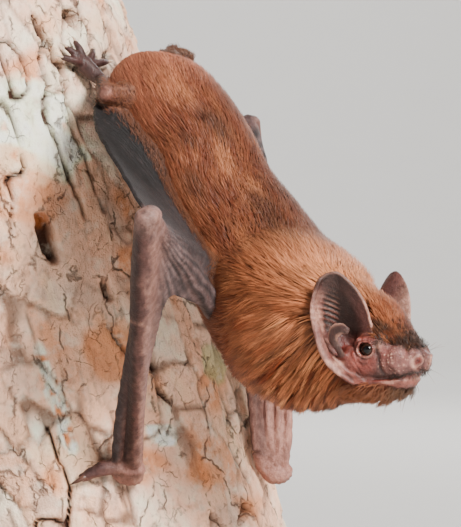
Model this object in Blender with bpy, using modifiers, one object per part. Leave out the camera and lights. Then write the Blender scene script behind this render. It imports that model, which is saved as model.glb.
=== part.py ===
"""Brown vesper bat of the noctule type, clinging head-down to a short cut log on a display stand.

The model is life-size and still.  Working units are millimetres and become metres when a mesh is made.
+Z is up, the origin is the centre of the stand base's underside, and the bat's right side faces -Y.
Every solid follows the outline of the fur's tips or of the bare skin.
"""
import math

import bmesh
import bpy
import numpy as np

MM = 0.001
GAP = 0.3  # clearance kept between pieces that touch
CONTACT = 0.05  # clearance under the pads that rest on the bark
MERGE = 0.001  # points closer than this become one

# Stand and log
BASE_RADIUS = 65.0
BASE_HEIGHT = 8.0
ROD_RADIUS = 3.0
ROD_SPACING = 22.0
LOG_RADIUS = 32.0
LOG_BOTTOM = 30.0
LOG_TOP = 136.0
LOG_LEAN = 0.315  # sideways shift of the log's axis for each millimetre of height
LOG_MIDDLE = (-3.4, 6.0, 82.0)  # where the axis passes through this level
LOG_STRETCH = math.hypot(1.0, LOG_LEAN)  # a level cut through a leaning log is an ellipse

# Head frame: distances are taken back from the nose, sideways to the bat's right, and up
NOSE = np.array((61.7, -52.0, 67.7))
HEAD_FORWARD = np.array((0.809, -0.562, -0.172))
HEAD_UP = np.array((0.141, -0.098, 0.984))
HEAD_RIGHT = np.cross(HEAD_FORWARD, HEAD_UP)

# The body's line from rump to nose: x, y, z, half width, depth to the back, depth to the belly
TORSO = [
    (20.4, -21.0, 113.2, 8.6, 5.4, 5.4),  # rump
    (21.8, -22.6, 110.6, 9.8, 6.8, 6.0),  # loin
    (24.6, -24.8, 105.6, 10.4, 7.7, 6.6),
    (28.8, -26.5, 99.8, 10.4, 7.4, 7.2),  # middle of the back
    (32.3, -28.5, 92.1, 10.9, 7.6, 8.4),
    (35.8, -30.0, 86.6, 11.4, 8.2, 9.2),
    (39.6, -32.6, 81.6, 12.2, 8.0, 12.2),  # shoulders
    (44.3, -38.0, 77.4, 12.2, 8.6, 15.6),  # neck ruff
]
# The head's share of the line: distance back, rise, half width, height above and below the line
SKULL = [
    (18.0, 3.4, 10.6, 8.6, 14.0),
    (13.0, 2.0, 8.0, 7.6, 11.4),
    (8.5, 0.8, 6.7, 7.0, 7.6),
    (6.0, 0.3, 5.8, 5.6, 4.8),  # eyes
    (3.6, 0.0, 4.8, 3.9, 3.2),  # swollen muzzle
    (1.0, 0.0, 3.7, 2.4, 2.5),
    (-0.6, 0.0, 2.7, 1.7, 1.9),  # nose pad
]
JAW = [  # distance back, height of the middle, half width, half height
    (10.0, -4.6, 4.6, 2.6),
    (7.0, -4.6, 4.2, 2.4),
    (4.5, -4.3, 3.6, 2.0),
    (2.4, -3.8, 2.7, 1.4),
    (1.0, -3.3, 1.8, 0.8),
]
RUMP_UP = np.array((0.75, -0.50, 0.43))
BACK_UP = np.array((0.638, -0.63, 0.443))
RUMP_ROUNDING = 5.0
NOSE_ROUNDING = 1.4
SECTION_POWER = 2.3  # a little squarer than an ellipse
BODY_SIDES = 22

# Places where the body is parted, as lengths along its line
CUTTER_LAP = 2.0  # how far neighbouring body cutters lap
CHEST_START = 24.0
NECK_START = 44.5
HEAD_START = 56.5

# Limb joints, right side first
SHOULDER = {"R": (36.0, -36.6, 78.6), "L": (42.4, -27.6, 82.0)}
ELBOW = {"R": (22.6, -62.0, 88.4), "L": (36.8, -10.0, 104.3)}
HIP = {"R": (23.8, -26.0, 106.6), "L": (23.8, -22.4, 109.0)}
KNEE = {"R": (15.4, -35.4, 107.4), "L": (24.8, -10.0, 115.8)}
# Places on the bark: angle round the log from +X towards -Y in degrees, height, lift off the bark
WRIST_SPOT = {"R": (71.0, 50.4, 3.0), "L": (17.5, 51.3, 3.4)}
ANKLE_SPOT = {"R": (46.0, 110.5, 3.4), "L": (-6.0, 108.5, 3.0)}
SOLE_SPOT = {"R": (47.5, 113.0, 1.6), "L": (-7.0, 111.4, 1.5)}
TOE_SPOTS = {
    "R": [(55.0, 114.3, 0.9), (52.0, 116.4, 0.9), (47.5, 117.6, 0.9), (40.5, 116.2, 0.9), (34.5, 114.2, 0.9)],
    "L": [(4.0, 112.6, 0.9), (0.0, 114.6, 0.9), (-6.0, 115.6, 0.9), (-13.0, 115.0, 0.9), (-18.5, 113.4, 0.9)],
}
THUMB_SPOTS = {
    "R": [(70.5, 50.8, 3.0), (77.0, 50.4, 2.4), (82.5, 49.2, 1.6), (86.5, 48.0, 0.8)],
    "L": [(12.0, 50.0, 1.9), (2.0, 49.4, 1.9), (-7.0, 48.4, 1.5), (-13.0, 47.2, 0.8)],
}
FOLDED_OFFSETS = {  # the folded fingers beside the forearm: share of the way up from the wrist, then offset
    "R": [(0.02, -2.9, 0.8, 0.0), (0.2, -2.6, 1.6, 0.0), (0.45, -1.7, 2.6, -1.2), (0.7, -0.8, 2.8, -2.2),
          (0.88, 0.0, 2.6, -2.6)],
    "L": [(0.02, -2.4, -1.4, 0.0), (0.2, -2.4, -1.2, 0.0), (0.45, -2.5, -1.0, 0.0), (0.7, -2.4, -1.0, 0.0),
          (0.88, -2.2, -1.0, -1.0)],
}
WING_EDGE = {  # free edge of the wing's rear membrane between ankle and elbow
    "R": [(14.3, -42.0, 101.9), (17.6, -52.0, 96.5)],
    "L": [(28.0, 1.5, 106.0), (33.0, -4.0, 103.5)],
}
FLANK_END = {"R": 38.5, "L": 21.0}  # length along the body where the membrane leaves the flank
LEG_BEND = 0.5  # how far the membrane's top border follows the bent knee
ARM_WEB_REACH = 0.72  # share of the forearm that the front membrane runs down
ARM_WEB_SLACK = 0.36  # how far its free edge draws back towards the elbow
ARM_WEB_BELLY = 0.9  # how far it bellies out of its plane
MEMBRANE = 0.6  # thickness of wing and tail membranes
EAR_WALL = 0.7

EAR_RIM = [  # distance back, side and height of the ear's rim, from its front root round to the cheek
    (6.4, 5.4, 4.6),
    (7.3, 6.2, 7.2),
    (9.4, 7.5, 10.0),
    (11.9, 8.6, 11.3),
    (13.6, 9.5, 10.2),
    (14.2, 9.8, 7.4),
    (13.7, 9.6, 3.8),
    (12.6, 9.1, 1.0),
    (11.2, 8.6, -1.4),
    (9.2, 7.8, -3.0),
    (7.2, 6.4, -4.2),
    (6.8, 4.0, -3.4),
    (6.4, 3.4, 0.5),
]
EAR_CENTRE = (10.6, 7.8, 3.2)
EAR_DEPTH = 2.8
EYE = (6.6, 5.3, 1.0)
EYE_RADIUS = 0.95
TAIL = [(21.6, -19.6, 109.9), (18.5, -15.7, 108.3), (19.0, -13.4, 104.4), (21.6, -12.0, 98.4), (24.4, -11.0, 91.0),
        (26.6, -10.6, 84.0)]
WEB_TOP = (18.8, -18.4, 111.4)  # where the tail membrane meets the rump's end
WEB_START = {"R": (15.2, -21.0, 111.0), "L": (23.6, -10.0, 112.4)}  # its upper corner on the leg
ANKLE_EASE = 0.15  # how far it stays below the ankle
TRAILING_ANGLE = 38.0  # the tail membrane's free corner lies between this angle and the ankle
TRAILING_HEIGHT = 100.0
TRAILING_LIFT = 2.6


def unit(vector):
    """The same direction with a length of one."""
    vector = np.asarray(vector, float)
    return vector / np.linalg.norm(vector, axis=-1, keepdims=True)


def head_point(back, side, up):
    """A place given in the head's own frame."""
    return NOSE - HEAD_FORWARD * back + HEAD_RIGHT * side + HEAD_UP * up


def spline(table, lengths=None, count=None):
    """Cubic curve through the rows of a table, measured along its first three columns."""
    table = np.asarray(table, float)
    steps = np.linalg.norm(np.diff(table[:, :3], axis=0), axis=1)
    knots = np.concatenate(([0.0], np.cumsum(steps)))
    if lengths is None:
        lengths = np.linspace(0.0, knots[-1], count)
    lengths = np.asarray(lengths, float)
    slopes = np.gradient(table, knots, axis=0)
    index = np.clip(np.searchsorted(knots, lengths, side="right") - 1, 0, len(knots) - 2)
    span = (knots[index + 1] - knots[index])[:, None]
    t = ((lengths - knots[index])[:, None]) / span
    start = (2 * t**3 - 3 * t**2 + 1) * table[index] + (t**3 - 2 * t**2 + t) * span * slopes[index]
    end = (3 * t**2 - 2 * t**3) * table[index + 1] + (t**3 - t**2) * span * slopes[index + 1]
    return start + end


def log_point(angle, height, lift=0.0):
    """Place on the bark, or lifted off it, at an angle round the leaning log's axis and a height."""
    angle = np.radians(angle)
    rise = np.asarray(height, float) - LOG_MIDDLE[2]
    along = (height - LOG_BOTTOM) / (LOG_TOP - LOG_BOTTOM)
    swell = 1.0 * np.sin(2 * math.pi * along - 2.4) + 0.6 * np.sin(3 * angle + 5 * along)
    radius = LOG_RADIUS + swell + lift
    x = LOG_MIDDLE[0] - LOG_LEAN * rise + radius * LOG_STRETCH * np.cos(angle)
    y = LOG_MIDDLE[1] - radius * np.sin(angle)
    return np.stack(np.broadcast_arrays(x, y, height), axis=-1)


# ---------------------------------------------------------------- meshes and modifiers

def collection(name):
    made = bpy.data.collections.new(name)
    bpy.context.scene.collection.children.link(made)
    return made


def material(name, color, roughness, metallic=0.0):
    made = bpy.data.materials.new(name)
    made.use_nodes = True
    shader = made.node_tree.nodes["Principled BSDF"]
    shader.inputs["Base Color"].default_value = (*color, 1.0)
    shader.inputs["Roughness"].default_value = roughness
    shader.inputs["Metallic"].default_value = metallic
    made.diffuse_color = (*color, 1.0)
    return made


def mesh_object(name, points, faces, finish=None, cutter=False):
    """Object from points in millimetres; a closed mesh gets its faces turned outwards."""
    mesh = bpy.data.meshes.new(name)
    mesh.from_pydata((np.asarray(points) * MM).tolist(), [], faces)
    shape = bmesh.new()
    shape.from_mesh(mesh)
    bmesh.ops.recalc_face_normals(shape, faces=shape.faces)
    shape.to_mesh(mesh)
    shape.free()
    made = bpy.data.objects.new(name, mesh)
    if cutter:
        cutters.objects.link(made)
        made.hide_render = True
        made.display_type = "WIRE"
    else:
        parts.objects.link(made)
        mesh.materials.append(finish)
        mesh.shade_smooth()
    return made


def loft(name, rings, finish=None, cutter=False):
    """Closed skin over a stack of rings of equal point count, with flat ends."""
    count, sides = rings.shape[:2]
    index = np.arange(count * sides).reshape(count, sides)
    around = np.roll(index, -1, axis=1)
    quads = np.stack((index[:-1], around[:-1], around[1:], index[1:]), axis=-1).reshape(-1, 4)
    faces = quads.tolist() + [index[0].tolist(), index[-1].tolist()]
    return mesh_object(name, rings.reshape(-1, 3), faces, finish, cutter)


def boolean(target, operand, operation="DIFFERENCE"):
    step = target.modifiers.new(operation.title(), "BOOLEAN")
    step.operation = operation
    step.solver = "EXACT"
    step.object = operand


def cut(target, *names):
    for name in names:
        boolean(target, cutters.objects[name])


def sheet(name, grid, thickness, finish):
    """Open grid of points with a wall thickness, for membranes."""
    rows, columns = grid.shape[:2]
    index = np.arange(rows * columns).reshape(rows, columns)
    quads = np.stack((index[:-1, :-1], index[:-1, 1:], index[1:, 1:], index[1:, :-1]), axis=-1)
    made = mesh_object(name, grid.reshape(-1, 3), quads.reshape(-1, 4).tolist(), finish)
    wall = made.modifiers.new("Wall", "SOLIDIFY")
    wall.thickness = thickness * MM
    wall.offset = 0.0
    return made


def limb_rings(path, widths, thicknesses, flat=(0.0, 0.0, 1.0), sides=8, rings=6, grow=0.0):
    """Rounded tube along a path; its section is an ellipse, widest along the flat direction."""
    stations = np.column_stack((path, widths, thicknesses))
    line = spline(stations, count=rings)
    tangent = unit(np.gradient(line[:, :3], axis=0))
    wide = np.asarray(flat, float) - (tangent @ np.asarray(flat, float))[:, None] * tangent
    wide = unit(wide)
    thin = np.cross(tangent, wide)
    ends = line[[0, 0, *range(rings), -1, -1], :3]
    half = line[[0, 0, *range(rings), -1, -1], 3:5] + grow
    pad = np.array([-0.85, -0.5, *([0.0] * rings), 0.5, 0.85])[:, None] * half.min(axis=1, keepdims=True)
    ends = ends + pad * tangent[[0, 0, *range(rings), -1, -1]]
    half = half * np.array([0.5, 0.86, *([1.0] * rings), 0.86, 0.5])[:, None]
    angle = np.linspace(0.0, 2 * math.pi, sides, endpoint=False)
    wide = wide[[0, 0, *range(rings), -1, -1]]
    thin = thin[[0, 0, *range(rings), -1, -1]]
    across = np.cos(angle)[None, :, None] * half[:, None, :1] * wide[:, None, :]
    through = np.sin(angle)[None, :, None] * half[:, None, 1:] * thin[:, None, :]
    return ends[:, None, :] + across + through


def limb(name, path, widths, thicknesses, finish, trimmed_by=(), **shape):
    """Limb piece, with a cutter of the same form grown by the gap for its neighbours."""
    path = np.asarray(path, float)
    made = loft(name, limb_rings(path, widths, thicknesses, **shape), finish)
    loft("grown_" + name, limb_rings(path, widths, thicknesses, grow=GAP, **shape), cutter=True)
    cut(made, *trimmed_by)
    return made


# ---------------------------------------------------------------- body and head

def body_table():
    """All stations from rump to nose in one table."""
    skull = [(*head_point(back, 0.0, rise), *sizes) for back, rise, *sizes in SKULL]
    return np.array(TORSO + skull)


def body_length():
    table = body_table()
    return np.linalg.norm(np.diff(table[:, :3], axis=0), axis=1).sum()


def body_rings(lengths, shift=0.0, grow=0.0):
    """Sections of the body at the given lengths, moved along its line by shift."""
    lengths = np.asarray(lengths, float)
    total = body_length()
    line = spline(body_table(), lengths)
    tangent = unit(spline(body_table(), lengths + 0.2)[:, :3] - spline(body_table(), lengths - 0.2)[:, :3])
    to_chest = np.clip(lengths / NECK_START, 0.0, 1.0)[:, None]
    to_head = np.clip((lengths - NECK_START + 6.0) / 16.0, 0.0, 1.0)[:, None]
    to_head = to_head * to_head * (3 - 2 * to_head)
    up = (RUMP_UP * (1 - to_chest) + BACK_UP * to_chest) * (1 - to_head) + HEAD_UP * to_head
    up = unit(up - (up * tangent).sum(axis=1, keepdims=True) * tangent)
    right = np.cross(tangent, up)
    rump = np.clip((lengths + 0.3) / RUMP_ROUNDING, 0.0, 1.0)
    nose = np.clip((total + 0.3 - lengths) / NOSE_ROUNDING, 0.0, 1.0)
    rounding = np.sqrt(1 - (1 - rump) ** 2) * np.sqrt(1 - (1 - nose) ** 2)
    angle = np.linspace(0.0, 2 * math.pi, BODY_SIDES, endpoint=False)
    across = np.sign(np.cos(angle)) * np.abs(np.cos(angle)) ** (2 / SECTION_POWER)
    rise = np.sign(np.sin(angle)) * np.abs(np.sin(angle)) ** (2 / SECTION_POWER)
    depth = np.where(rise[None, :] > 0, line[:, 4:5], line[:, 5:6]) * rounding[:, None] + grow
    width = (line[:, 3] * rounding + grow)[:, None]
    centre = line[:, :3] + tangent * shift
    return (centre[:, None, :] + right[:, None, :] * (width * across)[:, :, None]
            + up[:, None, :] * (depth * rise)[:, :, None])


def body_piece(name, start, end, finish, step):
    """One length of the body; inner ends stand half a gap back from the parting plane."""
    lengths = np.linspace(start, end, 2 + int((end - start) / step))
    rings = body_rings(lengths)
    if start > 0:
        rings[0] = body_rings(lengths[:1], shift=GAP / 2)[0]
    if end < body_length():
        rings[-1] = body_rings(lengths[-1:], shift=-GAP / 2)[0]
    return loft(name, rings, finish)


def body_cutter(name, start, end, step, grow):
    """Cutter round a length of the body; neighbours lap, each grown by its own amount."""
    lengths = np.linspace(start, end, 2 + int((end - start) / step))
    loft(name, body_rings(lengths, grow=grow), cutter=True)


def make_body():
    total = body_length()
    body_cutter("grown_trunk", 0.0, NECK_START + CUTTER_LAP, 2.2, GAP)
    body_cutter("grown_neck", NECK_START - CUTTER_LAP, HEAD_START + CUTTER_LAP, 2.4, GAP + 0.1)
    body_cutter("grown_head", HEAD_START - CUTTER_LAP, total, 1.5, GAP)
    body_piece("abdomen", 0.0, CHEST_START, fur, 2.0)
    body_piece("chest", CHEST_START, NECK_START, fur, 2.6)
    body_piece("neck", NECK_START, HEAD_START, fur, 2.4)
    head = body_piece("head", HEAD_START, total, fur, 1.5)
    for side, sign in (("R", 1.0), ("L", -1.0)):
        place = head_point(EYE[0], EYE[1] * sign, EYE[2])
        ball("eye_" + side, place, EYE_RADIUS, eye_black)
        ball("socket_" + side, place, EYE_RADIUS + GAP, cutter=True)
        cut(head, "socket_" + side)


def make_jaw():
    table = np.array(JAW)
    path = [head_point(back, 0.0, up) for back, up in table[:, :2]]
    limb("lower_jaw", path, table[:, 2], table[:, 3], bare_skin, ["grown_head"],
         flat=HEAD_RIGHT, sides=12, rings=6)


def ball(name, place, radius, finish=None, cutter=False):
    """Round solid from a sphere primitive."""
    shape = bmesh.new()
    bmesh.ops.create_uvsphere(shape, u_segments=10, v_segments=7, radius=radius * MM)
    bmesh.ops.translate(shape, verts=shape.verts, vec=place * MM)
    mesh = bpy.data.meshes.new(name)
    shape.to_mesh(mesh)
    shape.free()
    made = bpy.data.objects.new(name, mesh)
    (cutters if cutter else parts).objects.link(made)
    if cutter:
        made.hide_render = True
        made.display_type = "WIRE"
    else:
        mesh.materials.append(finish)
        mesh.shade_smooth()
    return made


def make_ear(side, sign):
    """Cupped ear: each ring shrinks from the rim to the middle and sinks by a parabola."""
    rim = np.array([head_point(back, out * sign, up) for back, out, up in EAR_RIM])
    closed = np.vstack((rim, rim[:1]))
    rim = spline(closed, count=22)[:-1]
    centre = head_point(EAR_CENTRE[0], EAR_CENTRE[1] * sign, EAR_CENTRE[2])
    inward = unit(-HEAD_RIGHT * sign * 0.8 - HEAD_FORWARD * 0.6)
    shares = np.array([1.0, 0.8, 0.45])[:, None, None]
    rings = centre + (rim - centre) * shares + inward * EAR_DEPTH * (1 - shares**2)
    middle = centre + inward * EAR_DEPTH
    count = rim.shape[0]
    index = np.arange(rings.shape[0] * count).reshape(rings.shape[0], count)
    around = np.roll(index, -1, axis=1)
    quads = np.stack((index[:-1], around[:-1], around[1:], index[1:]), axis=-1).reshape(-1, 4).tolist()
    last = len(rings) * count
    fan = [[int(a), int(b), last] for a, b in zip(index[-1], around[-1])]
    ear = mesh_object("ear_" + side, np.vstack((rings.reshape(-1, 3), middle)), quads + fan, ear_skin)
    wall = ear.modifiers.new("Wall", "SOLIDIFY")
    wall.thickness = EAR_WALL * MM
    wall.offset = 0.0
    cut(ear, "grown_head", "grown_neck")


def make_tragus(side, sign):
    """Mushroom-shaped lobe on a short stalk in front of the ear's opening."""
    path = [head_point(*spot) for spot in
            ((9.4, 7.0 * sign, 0.2), (9.8, 7.9 * sign, 1.4), (10.4, 8.4 * sign, 2.8), (10.8, 8.6 * sign, 3.9))]
    limb("tragus_" + side, path, [0.7, 0.8, 1.7, 1.2], [0.35, 0.35, 0.35, 0.3], ear_skin,
         ["grown_head"], flat=HEAD_FORWARD, rings=5)


# ---------------------------------------------------------------- limbs and membranes

def make_arm(side):
    shoulder, elbow = np.array(SHOULDER[side]), np.array(ELBOW[side])
    wrist = log_point(*WRIST_SPOT[side])
    forearm_way = unit(elbow - wrist)
    along = np.array([0.0, 0.2, 0.5, 0.8, 0.97])[:, None]
    forearm = elbow * (1 - along) + wrist * along
    limb("forearm_" + side, forearm, [1.9, 2.0, 1.6, 1.3, 1.5], [1.8, 1.9, 1.5, 1.3, 1.4], wing_skin,
         flat=(1.0, 0.0, 0.3), rings=8)
    limb("upper_arm_" + side, [shoulder, shoulder * 0.5 + elbow * 0.5, elbow], [2.4, 2.4, 1.7], [2.2, 2.1, 1.6],
         wing_skin, ["grown_trunk", "grown_neck", "grown_forearm_" + side], rings=5)
    spread = np.array(FOLDED_OFFSETS[side][0][1:])
    pad = [wrist + spread * 0.45, wrist + spread * 0.4 - forearm_way * 2.2]
    limb("wrist_" + side, pad, [3.1, 2.6], [1.8, 1.6], wing_skin, ["grown_log", "grown_forearm_" + side],
         flat=spread, rings=4)
    folded = [wrist * (1 - share) + elbow * share + np.array(offset) for share, *offset in FOLDED_OFFSETS[side]]
    limb("folded_fingers_" + side, folded, [1.8, 1.9, 1.9, 1.6, 1.0], [1.1, 1.3, 1.3, 1.1, 0.7], wing_skin,
         ["grown_log", "grown_forearm_" + side, "grown_wrist_" + side], flat=(0.6, 0.8, 0.0), rings=8)
    thumb = [log_point(*spot) for spot in THUMB_SPOTS[side]]
    limb("thumb_" + side, thumb, [1.0, 1.0, 0.8, 0.3], [0.9, 0.9, 0.7, 0.3], wing_skin,
         ["grown_log", "grown_wrist_" + side, "grown_folded_fingers_" + side, "grown_forearm_" + side],
         sides=7, rings=6)


def make_leg(side):
    hip, knee = np.array(HIP[side]), np.array(KNEE[side])
    ankle = log_point(*ANKLE_SPOT[side])
    limb("thigh_" + side, [hip, (hip + knee) / 2, knee], [2.4, 2.2, 1.7], [2.4, 2.2, 1.7], wing_skin,
         ["grown_trunk"], rings=4)
    limb("shank_" + side, [knee, (knee + ankle) / 2, ankle], [1.4, 1.3, 1.0], [1.4, 1.3, 1.0], wing_skin,
         ["grown_trunk", "grown_thigh_" + side], rings=5)
    sole = log_point(*SOLE_SPOT[side])
    foot = limb("foot_" + side, [ankle, sole], [1.1, 1.6], [1.0, 1.1], foot_skin, sides=6, rings=3)
    for number, spot in enumerate(TOE_SPOTS[side], start=1):
        tip = log_point(*spot)
        knuckle = log_point(*[(a + b) / 2 for a, b in zip(SOLE_SPOT[side][:2], spot[:2])], 1.9)
        name = "toe_{}_{}".format(number, side)
        toe = limb_rings(np.array([sole, knuckle, tip]), [0.8, 0.7, 0.4], [0.8, 0.7, 0.4], sides=5, rings=3)
        loft(name, toe, cutter=True)
        boolean(foot, cutters.objects[name], "UNION")
    cut(foot, "grown_shank_" + side, "grown_log")


def polyline(points, count):
    """Evenly spaced places along straight runs between the points."""
    points = np.asarray(points, float)
    knots = np.concatenate(([0.0], np.cumsum(np.linalg.norm(np.diff(points, axis=0), axis=1))))
    lengths = np.linspace(0.0, knots[-1], count)
    return np.stack([np.interp(lengths, knots, points[:, axis]) for axis in range(3)], axis=-1)


def coons(first, second, left, right):
    """Surface filling four border curves: first and second run across, left and right run down."""
    u = np.linspace(0.0, 1.0, len(first))[None, :, None]
    v = np.linspace(0.0, 1.0, len(left))[:, None, None]
    across = first[None] * (1 - v) + second[None] * v
    down = left[:, None] * (1 - u) + right[:, None] * u
    corners = (left[0] * (1 - u) + right[0] * u) * (1 - v) + (left[-1] * (1 - u) + right[-1] * u) * v
    return across + down - corners


def flank(side, count):
    """Line inside the body's flank, from the loin to where the wing's membrane leaves it."""
    rings = body_rings(np.linspace(9.0, FLANK_END[side], count))
    centre = rings.mean(axis=1)
    edge = rings[:, 0] if side == "R" else rings[:, BODY_SIDES // 2]
    return centre + (edge - centre) * 0.8


def make_wing(side):
    shoulder, elbow = np.array(SHOULDER[side]), np.array(ELBOW[side])
    hip, knee = np.array(HIP[side]), np.array(KNEE[side])
    ankle, wrist = log_point(*ANKLE_SPOT[side]), log_point(*WRIST_SPOT[side])
    inner = flank(side, 10)
    bend = hip * (0.5 - LEG_BEND / 2) + ankle * (0.5 - LEG_BEND / 2) + knee * LEG_BEND
    leg = spline([hip, bend, ankle], count=8)
    inner[0] = hip
    arm = polyline([inner[-1], elbow], 8)
    edge = spline([ankle, *WING_EDGE[side], elbow], count=10)
    wing = sheet("wing_membrane_" + side, coons(leg, arm, inner, edge), MEMBRANE, membrane_skin)
    limbs = ["grown_{}_{}".format(part, side) for part in
             ("thigh", "shank", "upper_arm", "forearm", "folded_fingers")]
    cut(wing, "grown_trunk", *limbs)
    reach = np.linspace(0.12, 1.0, 7)[:, None, None]
    across = np.linspace(0.0, 1.0, 9)[None, :, None]
    chord = shoulder * (1 - across) + (elbow * (1 - ARM_WEB_REACH) + wrist * ARM_WEB_REACH) * across
    arch = chord + (elbow - chord) * ARM_WEB_SLACK * np.sin(math.pi * across)
    belly = unit(np.cross(shoulder - elbow, wrist - elbow)) * ARM_WEB_BELLY
    front = sheet("arm_membrane_" + side, elbow + (arch - elbow) * reach + belly * np.sin(math.pi * across) * reach,
                  MEMBRANE, membrane_skin)
    cut(front, "grown_trunk", "grown_neck", *["grown_{}_{}".format(part, side) for part in
                               ("upper_arm", "forearm", "folded_fingers", "wrist")])


def make_tail():
    tail = np.array(TAIL)
    limb("tail", tail, [1.6, 1.4, 1.2, 1.0, 0.9, 0.7], [1.5, 1.4, 1.1, 0.9, 0.8, 0.6], membrane_skin,
         ["grown_trunk"], flat=(0.3, -1.0, 0.0), sides=6, rings=10)
    middle = np.vstack((WEB_TOP, spline(tail[1:5], count=8)))
    half = np.linspace(0.0, 1.0, 5)[:, None, None]
    for side in ("R", "L"):
        ankle = log_point(*ANKLE_SPOT[side])
        trailing = log_point(ANKLE_SPOT[side][0] * 0.7 + TRAILING_ANGLE * 0.3, TRAILING_HEIGHT, TRAILING_LIFT)
        outer = spline([WEB_START[side], ankle * (1 - ANKLE_EASE) + trailing * ANKLE_EASE, trailing], count=9)
        seam = middle + unit(outer - middle) * GAP
        web = sheet("tail_membrane_" + side, outer * (1 - half) + seam * half, MEMBRANE, membrane_skin)
        cut(web, "grown_log", "grown_trunk", "grown_tail", "grown_thigh_" + side, "grown_shank_" + side)


# ---------------------------------------------------------------- log and stand

def make_log():
    """Cut length of trunk: level rings whose radius swells slowly round and along it."""
    angle = np.linspace(0.0, 360.0, 36, endpoint=False)[None, :]
    height = np.linspace(LOG_BOTTOM, LOG_TOP, 10)[:, None]
    loft("perch_log", log_point(*np.broadcast_arrays(angle, height)), bark)
    loft("grown_log", log_point(*np.broadcast_arrays(angle, height, CONTACT)), cutter=True)


def disc(name, radius, bottom, top, x, y, finish, bevel, segments):
    """Upright cylinder between two heights with eased edges."""
    shape = bmesh.new()
    bmesh.ops.create_cone(shape, cap_ends=True, segments=segments, radius1=radius * MM, radius2=radius * MM,
                          depth=(top - bottom) * MM)
    mesh = bpy.data.meshes.new(name)
    shape.to_mesh(mesh)
    shape.free()
    made = bpy.data.objects.new(name, mesh)
    made.location = (x * MM, y * MM, (bottom + top) / 2 * MM)
    parts.objects.link(made)
    mesh.materials.append(finish)
    mesh.shade_smooth()
    mesh.set_sharp_from_angle(angle=math.radians(35))
    easing = made.modifiers.new("Eased edges", "BEVEL")
    easing.width = bevel * MM
    easing.segments = 1
    return made


def make_stand():
    disc("stand_base", BASE_RADIUS, 0.0, BASE_HEIGHT, 0.0, 0.0, stand_wood, 1.0, 40)
    middle = LOG_MIDDLE[0] - LOG_LEAN * (LOG_BOTTOM - LOG_MIDDLE[2])
    for name, offset in (("stand_rod_left", -0.5), ("stand_rod_right", 0.5)):
        disc(name, ROD_RADIUS, BASE_HEIGHT + GAP, LOG_BOTTOM - GAP, middle + offset * ROD_SPACING,
             LOG_MIDDLE[1], steel, 0.3, 16)


def settle(made):
    """Apply the modifiers, weld points closer than the merge distance and keep only the largest piece."""
    graph = bpy.context.evaluated_depsgraph_get()
    mesh = bpy.data.meshes.new_from_object(made.evaluated_get(graph))
    shape = bmesh.new()
    shape.from_mesh(mesh)
    bmesh.ops.triangulate(shape, faces=shape.faces)
    bmesh.ops.remove_doubles(shape, verts=shape.verts, dist=MERGE * MM)
    bmesh.ops.dissolve_degenerate(shape, edges=shape.edges, dist=MERGE * MM)
    bmesh.ops.triangulate(shape, faces=shape.faces)
    waiting = set(shape.verts)
    pieces = []
    while waiting:
        piece = {waiting.pop()}
        edge_of_search = set(piece)
        while edge_of_search:
            reached = {link.other_vert(vert) for vert in edge_of_search for link in vert.link_edges}
            edge_of_search = reached - piece
            piece |= reached
        waiting -= piece
        pieces.append(piece)
    largest = max(pieces, key=len)
    crumbs = [vert for vert in shape.verts if vert not in largest]
    bmesh.ops.delete(shape, geom=crumbs, context="VERTS")
    shape.to_mesh(mesh)
    shape.free()
    return mesh


for old in list(bpy.data.objects):
    bpy.data.objects.remove(old, do_unlink=True)
parts = collection("Brown bat")
cutters = collection("Cutters")
fur = material("Brown fur", (0.36, 0.16, 0.07), 0.7)
bare_skin = material("Bare face skin", (0.42, 0.24, 0.20), 0.5)
ear_skin = material("Ear skin", (0.16, 0.10, 0.09), 0.55)
wing_skin = material("Arm skin", (0.22, 0.11, 0.10), 0.5)
foot_skin = material("Foot skin", (0.22, 0.10, 0.10), 0.5)
membrane_skin = material("Membrane skin", (0.03, 0.025, 0.03), 0.6)
eye_black = material("Eye", (0.01, 0.008, 0.006), 0.1)
bark = material("Bark", (0.50, 0.38, 0.28), 0.9)
stand_wood = material("Stand wood", (0.05, 0.03, 0.02), 0.4)
steel = material("Stand steel", (0.55, 0.55, 0.55), 0.3, 1.0)

make_log()
make_stand()
make_body()
make_jaw()
for ear_side, ear_sign in (("R", 1.0), ("L", -1.0)):
    make_ear(ear_side, ear_sign)
    make_tragus(ear_side, ear_sign)
for limb_side in ("R", "L"):
    make_arm(limb_side)
    make_leg(limb_side)
    make_wing(limb_side)
make_tail()

settled = {made: settle(made) for made in parts.objects}
for made, settled_mesh in settled.items():
    made.modifiers.clear()
    made.data = settled_mesh
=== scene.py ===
import math

import bpy
import numpy as np
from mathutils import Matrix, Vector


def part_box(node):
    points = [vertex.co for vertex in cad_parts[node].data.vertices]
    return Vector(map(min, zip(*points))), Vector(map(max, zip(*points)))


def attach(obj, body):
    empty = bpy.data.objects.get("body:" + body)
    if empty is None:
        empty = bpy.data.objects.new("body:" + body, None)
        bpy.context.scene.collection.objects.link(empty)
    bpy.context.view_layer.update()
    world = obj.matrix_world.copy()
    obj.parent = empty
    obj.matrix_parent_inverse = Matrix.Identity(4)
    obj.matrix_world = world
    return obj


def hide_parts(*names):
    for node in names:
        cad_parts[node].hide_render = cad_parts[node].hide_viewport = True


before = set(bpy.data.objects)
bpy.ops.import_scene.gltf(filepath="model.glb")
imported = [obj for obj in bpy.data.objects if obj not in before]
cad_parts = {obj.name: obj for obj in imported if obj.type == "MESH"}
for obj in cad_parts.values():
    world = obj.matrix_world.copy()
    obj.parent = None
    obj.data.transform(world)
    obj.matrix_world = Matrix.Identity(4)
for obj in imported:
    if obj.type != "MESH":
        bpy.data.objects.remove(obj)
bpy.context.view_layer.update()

mm = 0.001  # every shape below is worked out in millimetres
rng = np.random.default_rng(11)


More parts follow.
